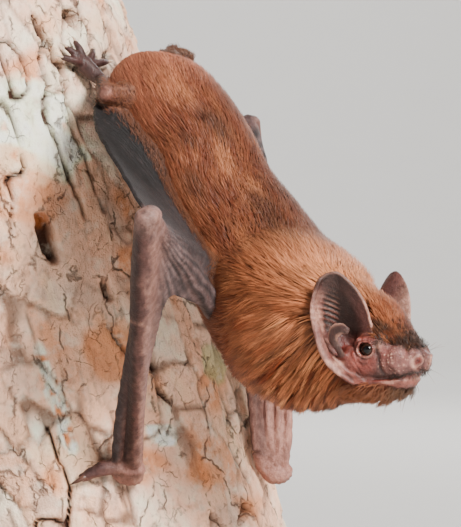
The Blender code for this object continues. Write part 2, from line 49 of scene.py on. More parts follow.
# A vector divided by its own length.
def unit(vector):
    vector = np.asarray(vector, float)
    return vector / np.maximum(np.linalg.norm(vector, axis=-1, keepdims=True), 1e-9)


# Even turns round a circle, without the last, which is the first again.
def turns(count):
    return np.linspace(0, 2 * math.pi, count, endpoint=False)


# Eased step from 0 at low to 1 at high: three squares less two cubes.
def ease(low, high, value):
    t = np.clip((value - low) / (high - low), 0.0, 1.0)
    return t * t * (3 - 2 * t)


# Bell of height one: the exponential of minus the squared distance over the squared width.
def bell(value, centre, width):
    return np.exp(-((value - centre) / width) ** 2)


# Lattice corners mixed by multiplying and shifting into values from 0 to 1.
def latticeValue(corners, seed):
    c = corners.astype(np.int64).astype(np.uint32)
    h = c[..., 0] * np.uint32(374761393) + c[..., 1] * np.uint32(668265263)
    h = h + c[..., 2] * np.uint32(2246822519) + np.uint32(seed * 7919 + 13)
    h = (h ^ (h >> np.uint32(13))) * np.uint32(1274126177)
    h = (h ^ (h >> np.uint32(15))) * np.uint32(2654435761)
    return (h ^ (h >> np.uint32(16))) / 4294967295.0


# Value noise from -1 to 1: lattice values blended with eased weights along three axes, in falling octaves.
def noise(points, scale, seed=0, octaves=1):
    total, weight, size = 0.0, 0.0, np.asarray(scale, float)
    for octave in range(octaves):
        p = points / size + 17.3 * octave
        base = np.floor(p)
        f = p - base
        f = f * f * (3 - 2 * f)
        layer = 0.0
        for dx in (0, 1):
            for dy in (0, 1):
                for dz in (0, 1):
                    share = (np.where(dx, f[..., 0], 1 - f[..., 0]) * np.where(dy, f[..., 1], 1 - f[..., 1])
                             * np.where(dz, f[..., 2], 1 - f[..., 2]))
                    layer = layer + share * latticeValue(base + (dx, dy, dz), seed + octave)
        total = total + (layer * 2 - 1) * 0.5 ** octave
        weight += 0.5 ** octave
        size = size * 0.5
    return total / weight


# Cell noise: distances to the nearest and second nearest jittered points, and the nearest one's own value.
def cells(points, scale, seed=0):
    p = points / np.asarray(scale, float)
    base = np.floor(p)
    first = np.full(p.shape[:-1], 9.0)
    second = first.copy()
    owner = np.zeros(p.shape[:-1])
    for dx in (-1, 0, 1):
        for dy in (-1, 0, 1):
            for dz in (-1, 0, 1):
                corner = base + (dx, dy, dz)
                spot = corner + np.stack([latticeValue(corner, seed + k) for k in (1, 2, 3)], axis=-1)
                distance = np.linalg.norm(spot - p, axis=-1)
                nearer = distance < first
                second = np.where(nearer, first, np.minimum(second, distance))
                owner = np.where(nearer, latticeValue(corner, seed + 4), owner)
                first = np.where(nearer, distance, first)
    return first, second, owner


# Cubic curve through the rows of a table, measured along its first three columns.
def spline(table, lengths=None, count=None):
    table = np.asarray(table, float)
    knots = np.concatenate(([0.0], np.cumsum(np.linalg.norm(np.diff(table[:, :3], axis=0), axis=1))))
    if lengths is None:
        lengths = np.linspace(0.0, knots[-1], count)
    slopes = np.gradient(table, knots, axis=0)
    index = np.clip(np.searchsorted(knots, lengths, side="right") - 1, 0, len(knots) - 2)
    span = (knots[index + 1] - knots[index])[:, None]
    t = (lengths - knots[index])[:, None] / span
    start = (2 * t**3 - 3 * t**2 + 1) * table[index] + (t**3 - 2 * t**2 + t) * span * slopes[index]
    return start + (3 * t**2 - 2 * t**3) * table[index + 1] + (t**3 - t**2) * span * slopes[index + 1]


# Mesh from arrays of points and of three- or four-cornered faces.
def meshFrom(name, points, faceSets, smoothShaded=True):
    mesh = bpy.data.meshes.new(name)
    corners = np.concatenate([faces.ravel() for faces in faceSets]).astype(np.int32)
    sizes = np.concatenate([np.full(len(faces), faces.shape[1]) for faces in faceSets])
    mesh.vertices.add(len(points))
    mesh.vertices.foreach_set("co", (np.asarray(points) * mm).astype(np.float32).ravel())
    mesh.loops.add(len(corners))
    mesh.loops.foreach_set("vertex_index", corners)
    mesh.polygons.add(len(sizes))
    mesh.polygons.foreach_set("loop_start", np.concatenate(([0], np.cumsum(sizes)[:-1])).astype(np.int32))
    mesh.update(calc_edges=True)
    mesh.polygons.foreach_set("use_smooth", np.full(len(sizes), smoothShaded))
    return mesh


# Object in the scene with the data given.
def addObject(name, data):
    thing = bpy.data.objects.new(name, data)
    bpy.context.scene.collection.objects.link(thing)
    return thing


# Mesh that a draft's modifiers give; the draft itself is removed.
def settled(draft):
    mesh = bpy.data.meshes.new_from_object(draft.evaluated_get(bpy.context.evaluated_depsgraph_get()))
    bpy.data.objects.remove(draft, do_unlink=True)
    return mesh


# Object that rides on the body, wears one material and stands for the named solids.
def addPiece(name, mesh, material, slot, *solids):
    piece = addObject(name, mesh)
    mesh.materials.clear()
    mesh.materials.append(material)
    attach(piece, "root")
    if solids:
        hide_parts(*solids)


# One number for each point of a mesh, for the finishes to read.
def setAttribute(mesh, name, values):
    mesh.attributes.new(name, "FLOAT", "POINT").data.foreach_set("value", np.asarray(values, np.float32))


# Quads between successive rings of a grid, wound so that they face out; when closed, the last column
# is joined to the first.
def ringFaces(rings, sides, closed=True):
    index = np.arange(rings * sides).reshape(rings, sides)
    if closed:
        index = np.concatenate((index, index[:, :1]), axis=1)
    return np.stack((index[:-1, :-1], index[:-1, 1:], index[1:, 1:], index[1:, :-1]), axis=-1).reshape(-1, 4)


# Signed volume: a sixth of the sum of the corner products of all faces, split into triangles.
def volume(points, faces):
    a, b, c = points[faces[:, 0]], points[faces[:, 1]], points[faces[:, 2]]
    total = np.einsum("ij,ij->i", a, np.cross(b, c)).sum()
    if faces.shape[1] == 4:
        total += np.einsum("ij,ij->i", a, np.cross(c, points[faces[:, 3]])).sum()
    return total / 6


# Closed tube: rings of a grid joined, and each end closed by a fan to its middle, turned to face out.
def tubeShell(grid):
    rings, sides = grid.shape[:2]
    quads = ringFaces(rings, sides)
    points = np.vstack((grid.reshape(-1, 3), grid[0].mean(axis=0), grid[-1].mean(axis=0)))
    first, last = np.arange(sides), np.arange(sides) + (rings - 1) * sides
    fans = np.vstack((np.stack((np.roll(first, -1), first, np.full(sides, rings * sides)), axis=1),
                      np.stack((last, np.roll(last, -1), np.full(sides, rings * sides + 1)), axis=1)))
    if volume(points, quads) + volume(points, fans) < 0:
        quads, fans = quads[:, ::-1], fans[:, ::-1]
    return points, [quads, fans]


# Closed sheet: the grid moved half the thickness both ways along its normals, with its rim joined.
def sheetShell(grid, thickness, closed=False):
    down = np.gradient(grid, axis=0)
    wrapped = np.concatenate((grid[:, -1:], grid, grid[:, :1]), axis=1) if closed else grid
    across = np.gradient(wrapped, axis=1)[:, 1:-1] if closed else np.gradient(grid, axis=1)
    normal = unit(np.cross(across, down))
    half = np.broadcast_to(np.asarray(thickness, float), grid.shape[:2])[..., None] / 2
    rows, columns = grid.shape[:2]
    top, bottom = (grid + normal * half).reshape(-1, 3), (grid - normal * half).reshape(-1, 3)
    faces = ringFaces(rows, columns, closed)
    index = np.arange(rows * columns).reshape(rows, columns)
    lines = [index[0], index[-1][::-1]] if not closed else [np.append(index[0], index[0, 0]),
                                                            np.append(index[-1], index[-1, 0])[::-1]]
    if not closed:
        lines += [index[::-1, 0], index[:, -1]]
    count = rows * columns
    rims = [np.stack((line[1:], line[:-1], line[:-1] + count, line[1:] + count), axis=1) for line in lines]
    points = np.vstack((top, bottom))
    quads = np.vstack([faces, faces[:, ::-1] + count, *rims])
    if volume(points, quads) < 0:
        quads = quads[:, ::-1]
    return points, [quads]


# Rounded tube along a path: an elliptical section, widest along the flat direction, with domed ends.
def limbGrid(path, widths, thicknesses, flat=(0.0, 0.0, 1.0), sides=20, rings=40, bulge=None):
    line = spline(np.column_stack((path, widths, thicknesses)), count=rings)
    tangent = unit(np.gradient(line[:, :3], axis=0))
    flat = np.asarray(flat, float)
    wide = unit(flat - (tangent @ flat)[:, None] * tangent)
    thin = np.cross(tangent, wide)
    cap = np.sin(np.linspace(0.0, math.pi / 2, 6)[:-1])
    order = np.concatenate((np.zeros(5, int), np.arange(rings), np.full(5, rings - 1)))
    dome = np.sqrt(1 - (1 - cap) ** 2) + 0.02
    scale = np.concatenate((dome, np.ones(rings), dome[::-1]))
    push = np.concatenate((cap - 1, np.zeros(rings), (1 - cap)[::-1]))
    small = line[order, 3:5].min(axis=1)
    centre = line[order, :3] + tangent[order] * (push * small * 0.9)[:, None]
    angle = turns(sides)
    swell = 1.0 if bulge is None else bulge(np.linspace(0, 1, len(order))[:, None], angle[None, :])
    x = np.cos(angle)[None, :] * (line[order, 3] * scale)[:, None] * swell
    y = np.sin(angle)[None, :] * (line[order, 4] * scale)[:, None] * swell
    wide, thin = wide[order][:, None, :], thin[order][:, None, :]
    return centre[:, None, :] + x[..., None] * wide + y[..., None] * thin


# Ellipsoid from three half-axis vectors, as rings from pole to pole.
def blobGrid(centre, axes, rings=14, sides=20):
    polar = np.linspace(0.04, math.pi - 0.04, rings)[:, None, None]
    turn = turns(sides)[None, :, None]
    a, b, c = np.asarray(axes, float)
    return np.asarray(centre) + np.sin(polar) * (np.cos(turn) * a + np.sin(turn) * b) + np.cos(polar) * c


# Surface filling four border curves: both pairs of opposite borders blended, less the blend of the corners.
def coons(first, second, left, right):
    u = np.linspace(0.0, 1.0, len(first))[None, :, None]
    v = np.linspace(0.0, 1.0, len(left))[:, None, None]
    corners = (left[0] * (1 - u) + right[0] * u) * (1 - v) + (left[-1] * (1 - u) + right[-1] * u) * v
    return first[None] * (1 - v) + second[None] * v + left[:, None] * (1 - u) + right[:, None] * u - corners


print("helpers ready")

perch = {"radius": 32.0, "bottom": 30.0, "top": 136.0, "lean": 0.315, "middle": (-3.4, 6.0, 82.0)}


# Place on the bark: the leaning axis at that height plus the swelling radius turned by the angle.
def barkPoint(angle, height, lift=0.0):
    angle = np.radians(angle)
    along = (height - perch["bottom"]) / (perch["top"] - perch["bottom"])
    radius = perch["radius"] + np.sin(2 * math.pi * along - 2.4) + 0.6 * np.sin(3 * angle + 5 * along) + lift
    x = perch["middle"][0] - perch["lean"] * (height - perch["middle"][2])
    x = x + radius * math.hypot(1, perch["lean"]) * np.cos(angle)
    return np.stack(np.broadcast_arrays(x, perch["middle"][1] - radius * np.sin(angle), height), axis=-1)


head = {
    "nose": np.array((61.7, -52.0, 67.7)),
    "forward": np.array((0.809, -0.562, -0.172)),
    "up": np.array((0.141, -0.098, 0.984)),
    # back, side and up of the right eye's opening, the nostril and the gland that swells the muzzle's side
    "eye": (6.6, 5.3, 1.0), "nostril": (0.1, 1.75, 0.5), "gland": (3.1, 3.0, 0.4),
    "slim": 0.85,  # how far the muzzle's core lies inside the coarse body
}
head["right"] = np.cross(head["forward"], head["up"])


# Place in the head's frame: back from the nose, out to the animal's right, and up.
def headPoint(back, side, up):
    back, side, up = np.broadcast_arrays(back, side, up)
    return (head["nose"] - head["forward"] * back[..., None] + head["right"] * side[..., None]
            + head["up"] * up[..., None])


# The same place read back as three distances, by products with the frame's three directions.
def inHead(points):
    offset = points - head["nose"]
    forward = unit(head["forward"])
    up = unit(head["up"] - forward * (head["up"] @ forward))
    right = np.cross(forward, up)
    return -(offset @ forward), offset @ right, offset @ up


torso = {
    # x, y, z, half width, depth to the back, depth to the belly
    "rows": [(20.4, -21.0, 113.2, 8.6, 5.4, 5.4), (21.8, -22.6, 110.6, 9.8, 6.8, 6.0),
             (24.6, -24.8, 105.6, 10.4, 7.7, 6.6), (28.8, -26.5, 99.8, 10.4, 7.4, 7.2),
             (32.3, -28.5, 92.1, 10.9, 7.6, 8.4), (35.8, -30.0, 86.6, 11.4, 8.2, 9.2),
             (39.6, -32.6, 81.6, 12.2, 8.0, 12.2), (44.3, -38.0, 77.4, 12.2, 8.6, 15.6)],
    # back from the nose, rise, half width, height above and below the line
    "skull": [(18.0, 3.4, 10.6, 8.6, 14.0), (13.0, 2.0, 8.0, 7.6, 11.4), (8.5, 0.8, 6.7, 7.0, 7.6),
              (6.0, 0.3, 5.8, 5.6, 4.8), (3.6, 0.0, 4.8, 3.9, 3.2), (1.0, 0.0, 3.7, 2.4, 2.5),
              (-0.6, 0.0, 2.7, 1.7, 1.9)],
    "rumpUp": np.array((0.75, -0.50, 0.43)), "backUp": np.array((0.638, -0.63, 0.443)),
    "neckStart": 44.5, "rumpRounding": 5.0, "noseRounding": 1.4, "power": 2.3,
}
skullRows = [(*headPoint(back, 0.0, rise), *sizes) for back, rise, *sizes in torso["skull"]]
bodyTable = np.array(torso["rows"] + skullRows)
bodyLength = np.linalg.norm(np.diff(bodyTable[:, :3], axis=0), axis=1).sum()


# Dense table of the body's line: place, right, up, half width and the two depths at even lengths.
def traceBody(count=900):
    lengths = np.linspace(0.0, bodyLength, count)
    line = spline(bodyTable, lengths)
    tangent = unit(spline(bodyTable, lengths + 0.2)[:, :3] - spline(bodyTable, lengths - 0.2)[:, :3])
    toChest = np.clip(lengths / torso["neckStart"], 0.0, 1.0)[:, None]
    toHead = ease(-6.0, 10.0, lengths - torso["neckStart"])[:, None]
    up = (torso["rumpUp"] * (1 - toChest) + torso["backUp"] * toChest) * (1 - toHead) + head["up"] * toHead
    up = unit(up - (up * tangent).sum(axis=1, keepdims=True) * tangent)
    rump = np.clip((lengths + 0.3) / torso["rumpRounding"], 0.0, 1.0)
    nose = np.clip((bodyLength + 0.3 - lengths) / torso["noseRounding"], 0.0, 1.0)
    rounding = np.sqrt(1 - (1 - rump) ** 2) * np.sqrt(1 - (1 - nose) ** 2)
    return lengths, np.column_stack((line[:, :3], np.cross(tangent, up), up, line[:, 3:] * rounding[:, None]))


traceLengths, traceRows = traceBody()


# Place on the body: the line's point plus right and up times a squarish ellipse, grown outwards by an amount.
def bodyPoint(lengths, angles, grow=0.0):
    lengths, angles, grow = np.broadcast_arrays(lengths, angles, grow)
    spot = np.clip(lengths / bodyLength, 0, 1) * (len(traceLengths) - 1)
    low = np.minimum(spot.astype(int), len(traceLengths) - 2)
    share = (spot - low)[..., None]
    row = traceRows[low] * (1 - share) + traceRows[low + 1] * share
    c, s = np.cos(angles), np.sin(angles)
    across = np.sign(c) * np.abs(c) ** (2 / torso["power"])
    rise = np.sign(s) * np.abs(s) ** (2 / torso["power"])
    depth = np.where(rise > 0, row[..., 10], row[..., 11]) + grow
    return (row[..., :3] + row[..., 3:6] * ((row[..., 9] + grow) * across)[..., None]
            + row[..., 6:9] * (depth * rise)[..., None])


# Height of the mouth's line at a distance back from the nose.
def mouthHeight(back):
    return np.interp(back, (-1.0, 0.8, 2.0, 4.5, 8.0, 10.0), (-1.2, -1.6, -2.25, -2.95, -3.9, -4.4))


# How bare a place on the head is: one on the muzzle's sides, lips and round the eye, fading into fur.
def bareness(points):
    back, side, up = inHead(points)
    top = np.interp(back, (-1.0, 1.5, 3.5, 5.0, 6.5, 8.5, 11.0), (1.9, 1.9, 2.3, 2.7, 3.0, 2.6, 2.0))
    bottom = mouthHeight(back) - np.interp(back, (0.0, 2.5, 4.5, 7.0, 10.0), (2.2, 1.6, 0.9, 0.6, 0.4))
    ragged = 0.35 * noise(points, 0.9, 5, 2)
    above = 1 - ease(-0.5, 0.5, up - top + ragged)
    below = ease(-0.5, 0.5, up - bottom + ragged)
    behind = 1 - ease(9.6, 11.2, back + ragged)
    tip = 1 - ease(0.9, 1.7, back + ragged)
    return np.maximum(above * below * behind, tip * below) * (back > -4)


ear = {
    "rim": [(6.4, 5.4, 4.6), (7.3, 6.2, 7.2), (9.4, 7.5, 10.0), (11.9, 8.6, 11.3), (13.6, 9.5, 10.2),
            (14.2, 9.8, 7.4), (13.7, 9.6, 3.8), (12.6, 9.1, 1.0), (11.2, 8.6, -1.4), (9.2, 7.8, -3.0),
            (7.2, 6.4, -4.2), (6.8, 4.0, -3.4), (6.4, 3.4, 0.5)],
    "centre": (10.6, 7.8, 3.2), "depth": 2.8, "wall": 0.6, "rollStart": 4, "rollEnd": 10, "roll": 0.5,
}


# Share of the way from the ear's middle to its rim, seen from the side: distance over the rim's at that turn.
def earShare(points):
    back, side, up = inHead(points)
    rim = np.array(ear["rim"])[:, (0, 2)] - np.array(ear["centre"])[[0, 2]]
    turn = np.arctan2(rim[:, 1], rim[:, 0])
    order = np.argsort(turn)
    reachOut = np.hypot(rim[:, 0], rim[:, 1])[order]
    own = np.arctan2(up - ear["centre"][2], back - ear["centre"][0])
    limit = np.interp(own, turn[order], reachOut, period=2 * math.pi)
    share = np.hypot(back - ear["centre"][0], up - ear["centre"][2]) / limit
    return np.where(np.abs(side) > 3.5, share, 9.0)


# Depth of the coat at a place of the body: by the length along it, thinned to nothing where it is bare.
def coatDepth(lengths, angles):
    left = bodyLength - lengths
    depth = np.interp(left, (0.0, 3.0, 6.0, 9.0, 13.0, 18.0, 24.0, 30.0, 60.0, bodyLength),
                      (0.25, 0.4, 0.8, 1.3, 1.9, 2.3, 2.0, 1.5, 1.2, 0.7))
    return depth * (1 - 0.93 * bareness(bodyPoint(lengths, angles)))


# How far the finished rump lies inside the solid one, fading along the body.
def rumpSlack(lengths):
    return 1.1 * ease(10.0, 1.0, lengths)


shells = []
regions = {}


# Keeps a closed shell for the skin, with its points as samples of the named region.
def keep(region, shell, sampled=True):
    shells.append(shell)
    if sampled:
        regions.setdefault(region, []).append(shell[0])


grid = np.meshgrid(np.linspace(0.0, bodyLength - head["slim"], 260), turns(112), indexing="ij")
outside = bodyPoint(*grid)
outBack, _, outUp = inHead(outside)
hollow = ease(1.02, 0.72, earShare(outside)) * np.maximum(ease(7.8, 9.6, outBack), ease(2.6, 4.2, outUp))
sunk = coatDepth(*grid) + rumpSlack(grid[0]) + 3.4 * hollow + head["slim"] * ease(2.4, -0.2, outBack)
keep("body", tubeShell(bodyPoint(*grid, -sunk)))


# A swelling of the head: a blob at a place back, aside and up, with half lengths forward, aside and up.
def swell(back, side, up, long, wide, high, skew=0.0):
    axes = (head["forward"] * long + head["right"] * skew, head["right"] * wide, head["up"] * high)
    keep("body", tubeShell(blobGrid(headPoint(back, side, up), axes)), False)


for sign in (1.0, -1.0):  # the cheeks, the muzzle's swollen sides, the nostrils' rims and the brows
    swell(9.0, 5.3 * sign, -0.9, 1.9, 1.5, 2.1)
    swell(head["gland"][0], head["gland"][1] * sign, head["gland"][2], 2.0, 1.95, 2.1)
    back, side, up = head["nostril"]
    swell(back + 0.4, (side - 0.15) * sign, up, 1.12, 1.0, 0.92, 0.25 * sign)
    swell(6.9, 3.9 * sign, 2.3, 2.4, 1.6, 1.3)
swell(1.9, 0.0, -0.6, 1.7, 2.5, 1.3)  # the upper lip's middle

jaw = {
    # back, up, half width and half height along the middle of the jaw
    "rows": [(10.0, -4.9, 4.4, 1.7), (7.0, -4.75, 3.9, 1.5), (4.5, -4.1, 3.3, 1.35),
             (2.9, -3.35, 2.6, 1.15), (1.9, -2.9, 1.9, 0.9)],
    # back, side, up, half width and half height along the lower lips
    "lips": [(7.6, 4.4, -4.2, 0.6, 0.55), (5.5, 3.65, -3.66, 0.68, 0.6), (4.0, 3.05, -3.2, 0.66, 0.6),
             (2.6, 2.35, -2.88, 0.62, 0.55), (1.7, 1.4, -2.72, 0.5, 0.45)],
}
back, up, wide, high = np.array(jaw["rows"]).T
keep("body", tubeShell(limbGrid(headPoint(back, 0.0, up), wide, high, flat=head["right"], sides=32)), False)
for sign in (1.0, -1.0):  # the lower lips close the gap under the muzzle
    back, side, up, wide, high = np.array(jaw["lips"]).T
    keep("body", tubeShell(limbGrid(headPoint(back, side * sign, up), wide, high)), False)

earInward = {sign: unit(-head["right"] * sign * 0.8 - head["forward"] * 0.6) for sign in (1.0, -1.0)}


# Ear: rings shrink from the rim to the middle and sink by a parabola; folds ripple the rear wall.
def earShells(sign):
    rim = headPoint(*(np.array(ear["rim"]).T * np.array((1.0, sign, 1.0))[:, None]))
    rim = spline(np.vstack((rim, rim[:1])), count=97)[:-1]
    centre = headPoint(ear["centre"][0], ear["centre"][1] * sign, ear["centre"][2])
    share = np.linspace(1.0, 0.06, 26)[:, None, None]
    rings = centre + (rim - centre) * share + earInward[sign] * ear["depth"] * (1 - share**2)
    around = np.linspace(0, 1, 96, endpoint=False)[None, :]
    rear = ease(0.28, 0.36, around) * (1 - ease(0.55, 0.62, around))
    height = rings @ head["up"]
    level = share[..., 0]
    ripple = np.sin(height * 5.2) * rear * ease(0.35, 0.6, level) * (1 - ease(0.78, 0.95, level))
    rings = rings - earInward[sign] * (0.16 * ripple)[..., None]
    wall = ear["wall"] * (0.75 + 0.5 * (1 - level))
    yield sheetShell(rings, wall, closed=True)
    roll = spline(headPoint(*(np.array(ear["rim"][ear["rollStart"]:ear["rollEnd"] + 1]).T
                              * np.array((1.0, sign, 1.0))[:, None])), count=9)
    roll = roll + unit(centre - roll) * 0.35
    size = np.interp(np.linspace(0, 1, 9), (0, 0.25, 0.7, 1), (0.35, 0.8, 1.0, 0.7)) * ear["roll"]
    flat = unit(centre - rim.mean(axis=0) + head["forward"] * 0.8)
    yield tubeShell(limbGrid(roll, size * 1.9, size, flat=flat))


tragus = {
    # back, side, up, half width across the blade
    "rows": [(9.6, 6.9, -0.6, 0.7), (10.0, 7.7, 0.5, 0.6), (10.7, 8.3, 1.7, 0.85),
             (10.4, 8.6, 2.9, 1.05), (9.3, 8.7, 3.5, 0.9), (8.3, 8.6, 3.4, 0.55)],
    "thickness": 0.3,
}


# Tragus: a flat blade on a stalk that curls forward like a comma.
def tragusShell(sign):
    back, side, up, width = np.array(tragus["rows"]).T
    thin = np.full(len(width), tragus["thickness"])
    return tubeShell(limbGrid(headPoint(back, side * sign, up), thin, width, flat=head["right"]))


for sign in (1.0, -1.0):
    for shell in (*earShells(sign), tragusShell(sign)):
        keep("ear", shell)

limbs = {
    "shoulder": {"R": (31.6, -38.4, 75.6), "L": (42.4, -27.6, 82.0)},
    "elbow": {"R": (22.6, -62.0, 88.4), "L": (36.8, -10.0, 104.3)},
    "hip": {"R": (23.8, -26.0, 106.6), "L": (23.8, -22.4, 109.0)},
    "knee": {"R": (15.4, -35.4, 107.4), "L": (24.8, -10.0, 115.8)},
    # angle, height and lift on the bark, down to the thumbs
    "wrist": {"R": (69.0, 50.8, 3.0), "L": (17.5, 51.3, 3.4)},
    "ankle": {"R": (46.0, 110.5, 3.4), "L": (-6.0, 108.5, 3.0)},
    "sole": {"R": (47.5, 113.0, 1.6), "L": (-7.0, 111.4, 1.5)},
    "toes": {"R": [(55.0, 114.3, 0.9), (52.0, 116.4, 0.9), (47.5, 117.6, 0.9), (40.5, 116.2, 0.9),
                   (34.5, 114.2, 0.9)],
             "L": [(4.0, 112.6, 0.9), (0.0, 114.6, 0.9), (-6.0, 115.6, 0.9), (-13.0, 115.0, 0.9),
                   (-18.5, 113.4, 0.9)]},
    "thumb": {"R": [(69.5, 51.0, 3.0), (76.5, 50.6, 2.4), (82.5, 49.2, 1.6), (86.5, 48.0, 0.8)],
              "L": [(12.0, 50.0, 1.9), (2.0, 49.4, 1.9), (-7.0, 48.4, 1.5), (-13.0, 47.2, 0.8)]},
    # share of the way up from the wrist, then the offset
    "folded": {"R": [(0.02, -2.0, 0.9, 0.0), (0.2, -1.7, 1.4, 0.0), (0.45, -0.9, 2.2, -0.8),
                     (0.7, -0.2, 2.5, -1.6), (0.88, 0.3, 2.4, -2.0)],
               "L": [(0.02, -2.4, -1.4, 0.0), (0.2, -2.4, -1.2, 0.0), (0.45, -2.5, -1.0, 0.0),
                     (0.7, -2.4, -1.0, 0.0), (0.88, -2.2, -1.0, -1.0)]},
    "wingEdge": {"R": [(14.3, -42.0, 101.9), (17.6, -52.0, 96.5)],
                 "L": [(28.0, 1.5, 106.0), (33.0, -4.0, 103.5)]},
    "flankEnd": {"R": 38.5, "L": 21.0},
    "legBend": 0.5, "webReach": 0.72, "webSlack": 0.47, "webBelly": 0.8,
    "tail": [(21.6, -19.6, 109.9), (18.5, -15.7, 108.3), (19.0, -13.4, 104.4), (21.6, -12.0, 98.4),
             (24.4, -11.0, 91.0), (26.6, -10.6, 84.0)],
    "webTop": (18.8, -18.4, 111.4), "webStart": {"R": (15.2, -21.0, 111.0), "L": (23.6, -10.0, 112.4)},
    "membrane": 0.62, "hump": ((25.0, -12.0, 114.6), (3.0, 2.4, 1.5)),
}
claws = []


# Two long muscles down the forearm: the section swells by a cosine of twice the angle, fading to the wrist.
def forearmMuscles(along, angle):
    groove = 0.10 * bell(angle, 4.3, 0.35) * (1 - 0.6 * along)
    return 1 + 0.09 * np.cos(2 * angle + 1.1) * (1 - along) - groove


# A limb of the named region: a rounded tube along a path with its half widths and, if they differ, depths.
def addLimb(region, path, widths, depths=None, **more):
    keep(region, tubeShell(limbGrid(path, widths, widths if depths is None else depths, **more)))


# Arm: forearm, upper arm, wrist pad, three folded fingers and the thumb, each along its own path.
def addArm(side):
    shoulder, elbow = (np.array(limbs[joint][side]) for joint in ("shoulder", "elbow"))
    wrist = barkPoint(*limbs["wrist"][side])
    share = np.array([0.0, 0.2, 0.5, 0.8, 0.97])[:, None]
    addLimb("arm", elbow * (1 - share) + wrist * share, (1.9, 2.0, 1.6, 1.3, 1.5), (1.8, 1.9, 1.5, 1.3, 1.4),
            flat=(1.0, 0.0, 0.3), sides=32, rings=90, bulge=forearmMuscles)
    addLimb("front", [shoulder, (shoulder + elbow) / 2, elbow], (2.2, 1.7, 1.6), (1.7, 1.4, 1.5))
    way = unit(elbow - wrist)
    rows = np.array(limbs["folded"][side])
    spread = rows[0, 1:]
    heel = [wrist + spread * 0.45, wrist + spread * 0.4 - way * 2.2]
    addLimb("pad", heel, (3.0, 2.5), (1.75, 1.55), flat=spread)
    for offset in (-0.95, 0.0, 0.95):  # the folded fingers lie side by side with skin between
        path = wrist * (1 - rows[:, :1]) + elbow * rows[:, :1] + rows[:, 1:] + unit((0.6, 0.8, 0.0)) * offset
        addLimb("membrane", path, (0.95, 0.95, 0.9, 0.8, 0.5), (0.85, 1.0, 1.0, 0.85, 0.5), sides=12)
    thumb = [barkPoint(*spot) for spot in limbs["thumb"][side]]
    addLimb("arm", thumb[:3], (1.3, 1.15, 0.75), (1.1, 1.0, 0.7))
    claws.append(("thumb", thumb[2] * 0.85 + thumb[1] * 0.15, thumb[3]))
    return shoulder, elbow, wrist


# Leg: a lean bone inside a furry thigh, the shank, the sole and five toes bent over their knuckles.
def addLeg(side):
    hip, knee = (np.array(limbs[joint][side]) for joint in ("hip", "knee"))
    ankle, sole = barkPoint(*limbs["ankle"][side]), barkPoint(*limbs["sole"][side])
    addLimb("leg", [hip, (hip + knee) / 2, knee], (2.1, 1.7, 1.15))
    addLimb("thigh", [hip, (hip + knee) / 2, hip * 0.12 + knee * 0.88], (3.6, 2.9, 1.3), (3.2, 2.5, 1.3))
    addLimb("leg", [knee, (knee + ankle) / 2, ankle], (1.2, 1.15, 0.95))
    addLimb("foot", [ankle, sole], (1.05, 1.5), (0.95, 1.05))
    for spot in limbs["toes"][side]:
        tip = barkPoint(*spot)
        knuckle = barkPoint(*[(a + b) / 2 for a, b in zip(limbs["sole"][side][:2], spot[:2])], 1.9)
        last = knuckle * 0.45 + tip * 0.55
        addLimb("foot", [sole, knuckle, last], (0.7, 0.62, 0.42), sides=12)
        claws.append(("toe", last, tip))
    return hip, knee, ankle


# Wing: a sheet filling leg, flank, arm and free edge, one from flank to elbow, and one in front of the arm
# whose free edge is drawn up towards the elbow by a half sine.
def addWing(side, shoulder, elbow, wrist, hip, knee, ankle):
    lengths = np.linspace(9.0, limbs["flankEnd"][side], 40)
    turn = 0.0 if side == "R" else math.pi
    rings = bodyPoint(lengths[:, None], turns(40)[None, :])
    centre = rings.mean(axis=1)
    inner = centre + (bodyPoint(lengths, turn) - centre) * 0.8
    inner[0] = hip
    bend = (hip + ankle) * (0.5 - limbs["legBend"] / 2) + knee * limbs["legBend"]
    leg = spline([hip, bend, ankle], count=40)
    share = np.linspace(0, 1, 40)[:, None]
    arm = inner[-1] * (1 - share) + elbow * share
    edge = spline([ankle, *limbs["wingEdge"][side], elbow], count=40)
    keep("membrane", sheetShell(coons(leg, arm, inner, edge), limbs["membrane"]))
    share = np.linspace(0.02, 1.0, 30)[:, None, None]
    lower = shoulder * 0.9 + centre[-1] * 0.1
    turnShare = np.linspace(0.0, 1.0, 20)[None, :, None]
    flank = inner[-1] * (1 - turnShare) + lower * turnShare
    keep("membrane", sheetShell(elbow + (flank - elbow) * share, limbs["membrane"]))
    reach = np.linspace(0.04, 1.0, 40)[:, None, None]
    across = np.linspace(0.0, 1.0, 44)[None, :, None]
    far = elbow * (1 - limbs["webReach"]) + wrist * limbs["webReach"]
    chord = shoulder * (1 - across) + far * across
    arch = chord + (elbow - chord) * limbs["webSlack"] * np.sin(math.pi * across)
    belly = unit(np.cross(shoulder - elbow, wrist - elbow))
    belly = belly * limbs["webBelly"] * (-1.0 if belly[1] > 0 else 1.0)
    front = elbow + (arch - elbow) * reach + belly * (0.5 + np.sin(math.pi * across) * reach)
    keep("front", sheetShell(front, limbs["membrane"]))


# Tail: a thin limb, with a sheet of skin on each side between it and the curve through the ankle.
def addTail():
    tail = np.array(limbs["tail"])
    addLimb("membrane", tail, (1.5, 1.3, 1.1, 0.9, 0.8, 0.6), (1.4, 1.3, 1.0, 0.8, 0.7, 0.55),
            flat=(0.3, -1.0, 0.0))
    middle = np.vstack((limbs["webTop"], spline(tail[1:5], count=29)))
    half = np.linspace(0.0, 1.0, 20)[:, None, None]
    for side in ("R", "L"):
        ankle = barkPoint(*limbs["ankle"][side])
        trailing = barkPoint(limbs["ankle"][side][0] * 0.7 + 11.4, 100.0, 2.6)
        outer = spline([limbs["webStart"][side], ankle * 0.85 + trailing * 0.15, trailing], count=30)
        keep("membrane", sheetShell(outer * (1 - half) + middle * half, limbs["membrane"]))


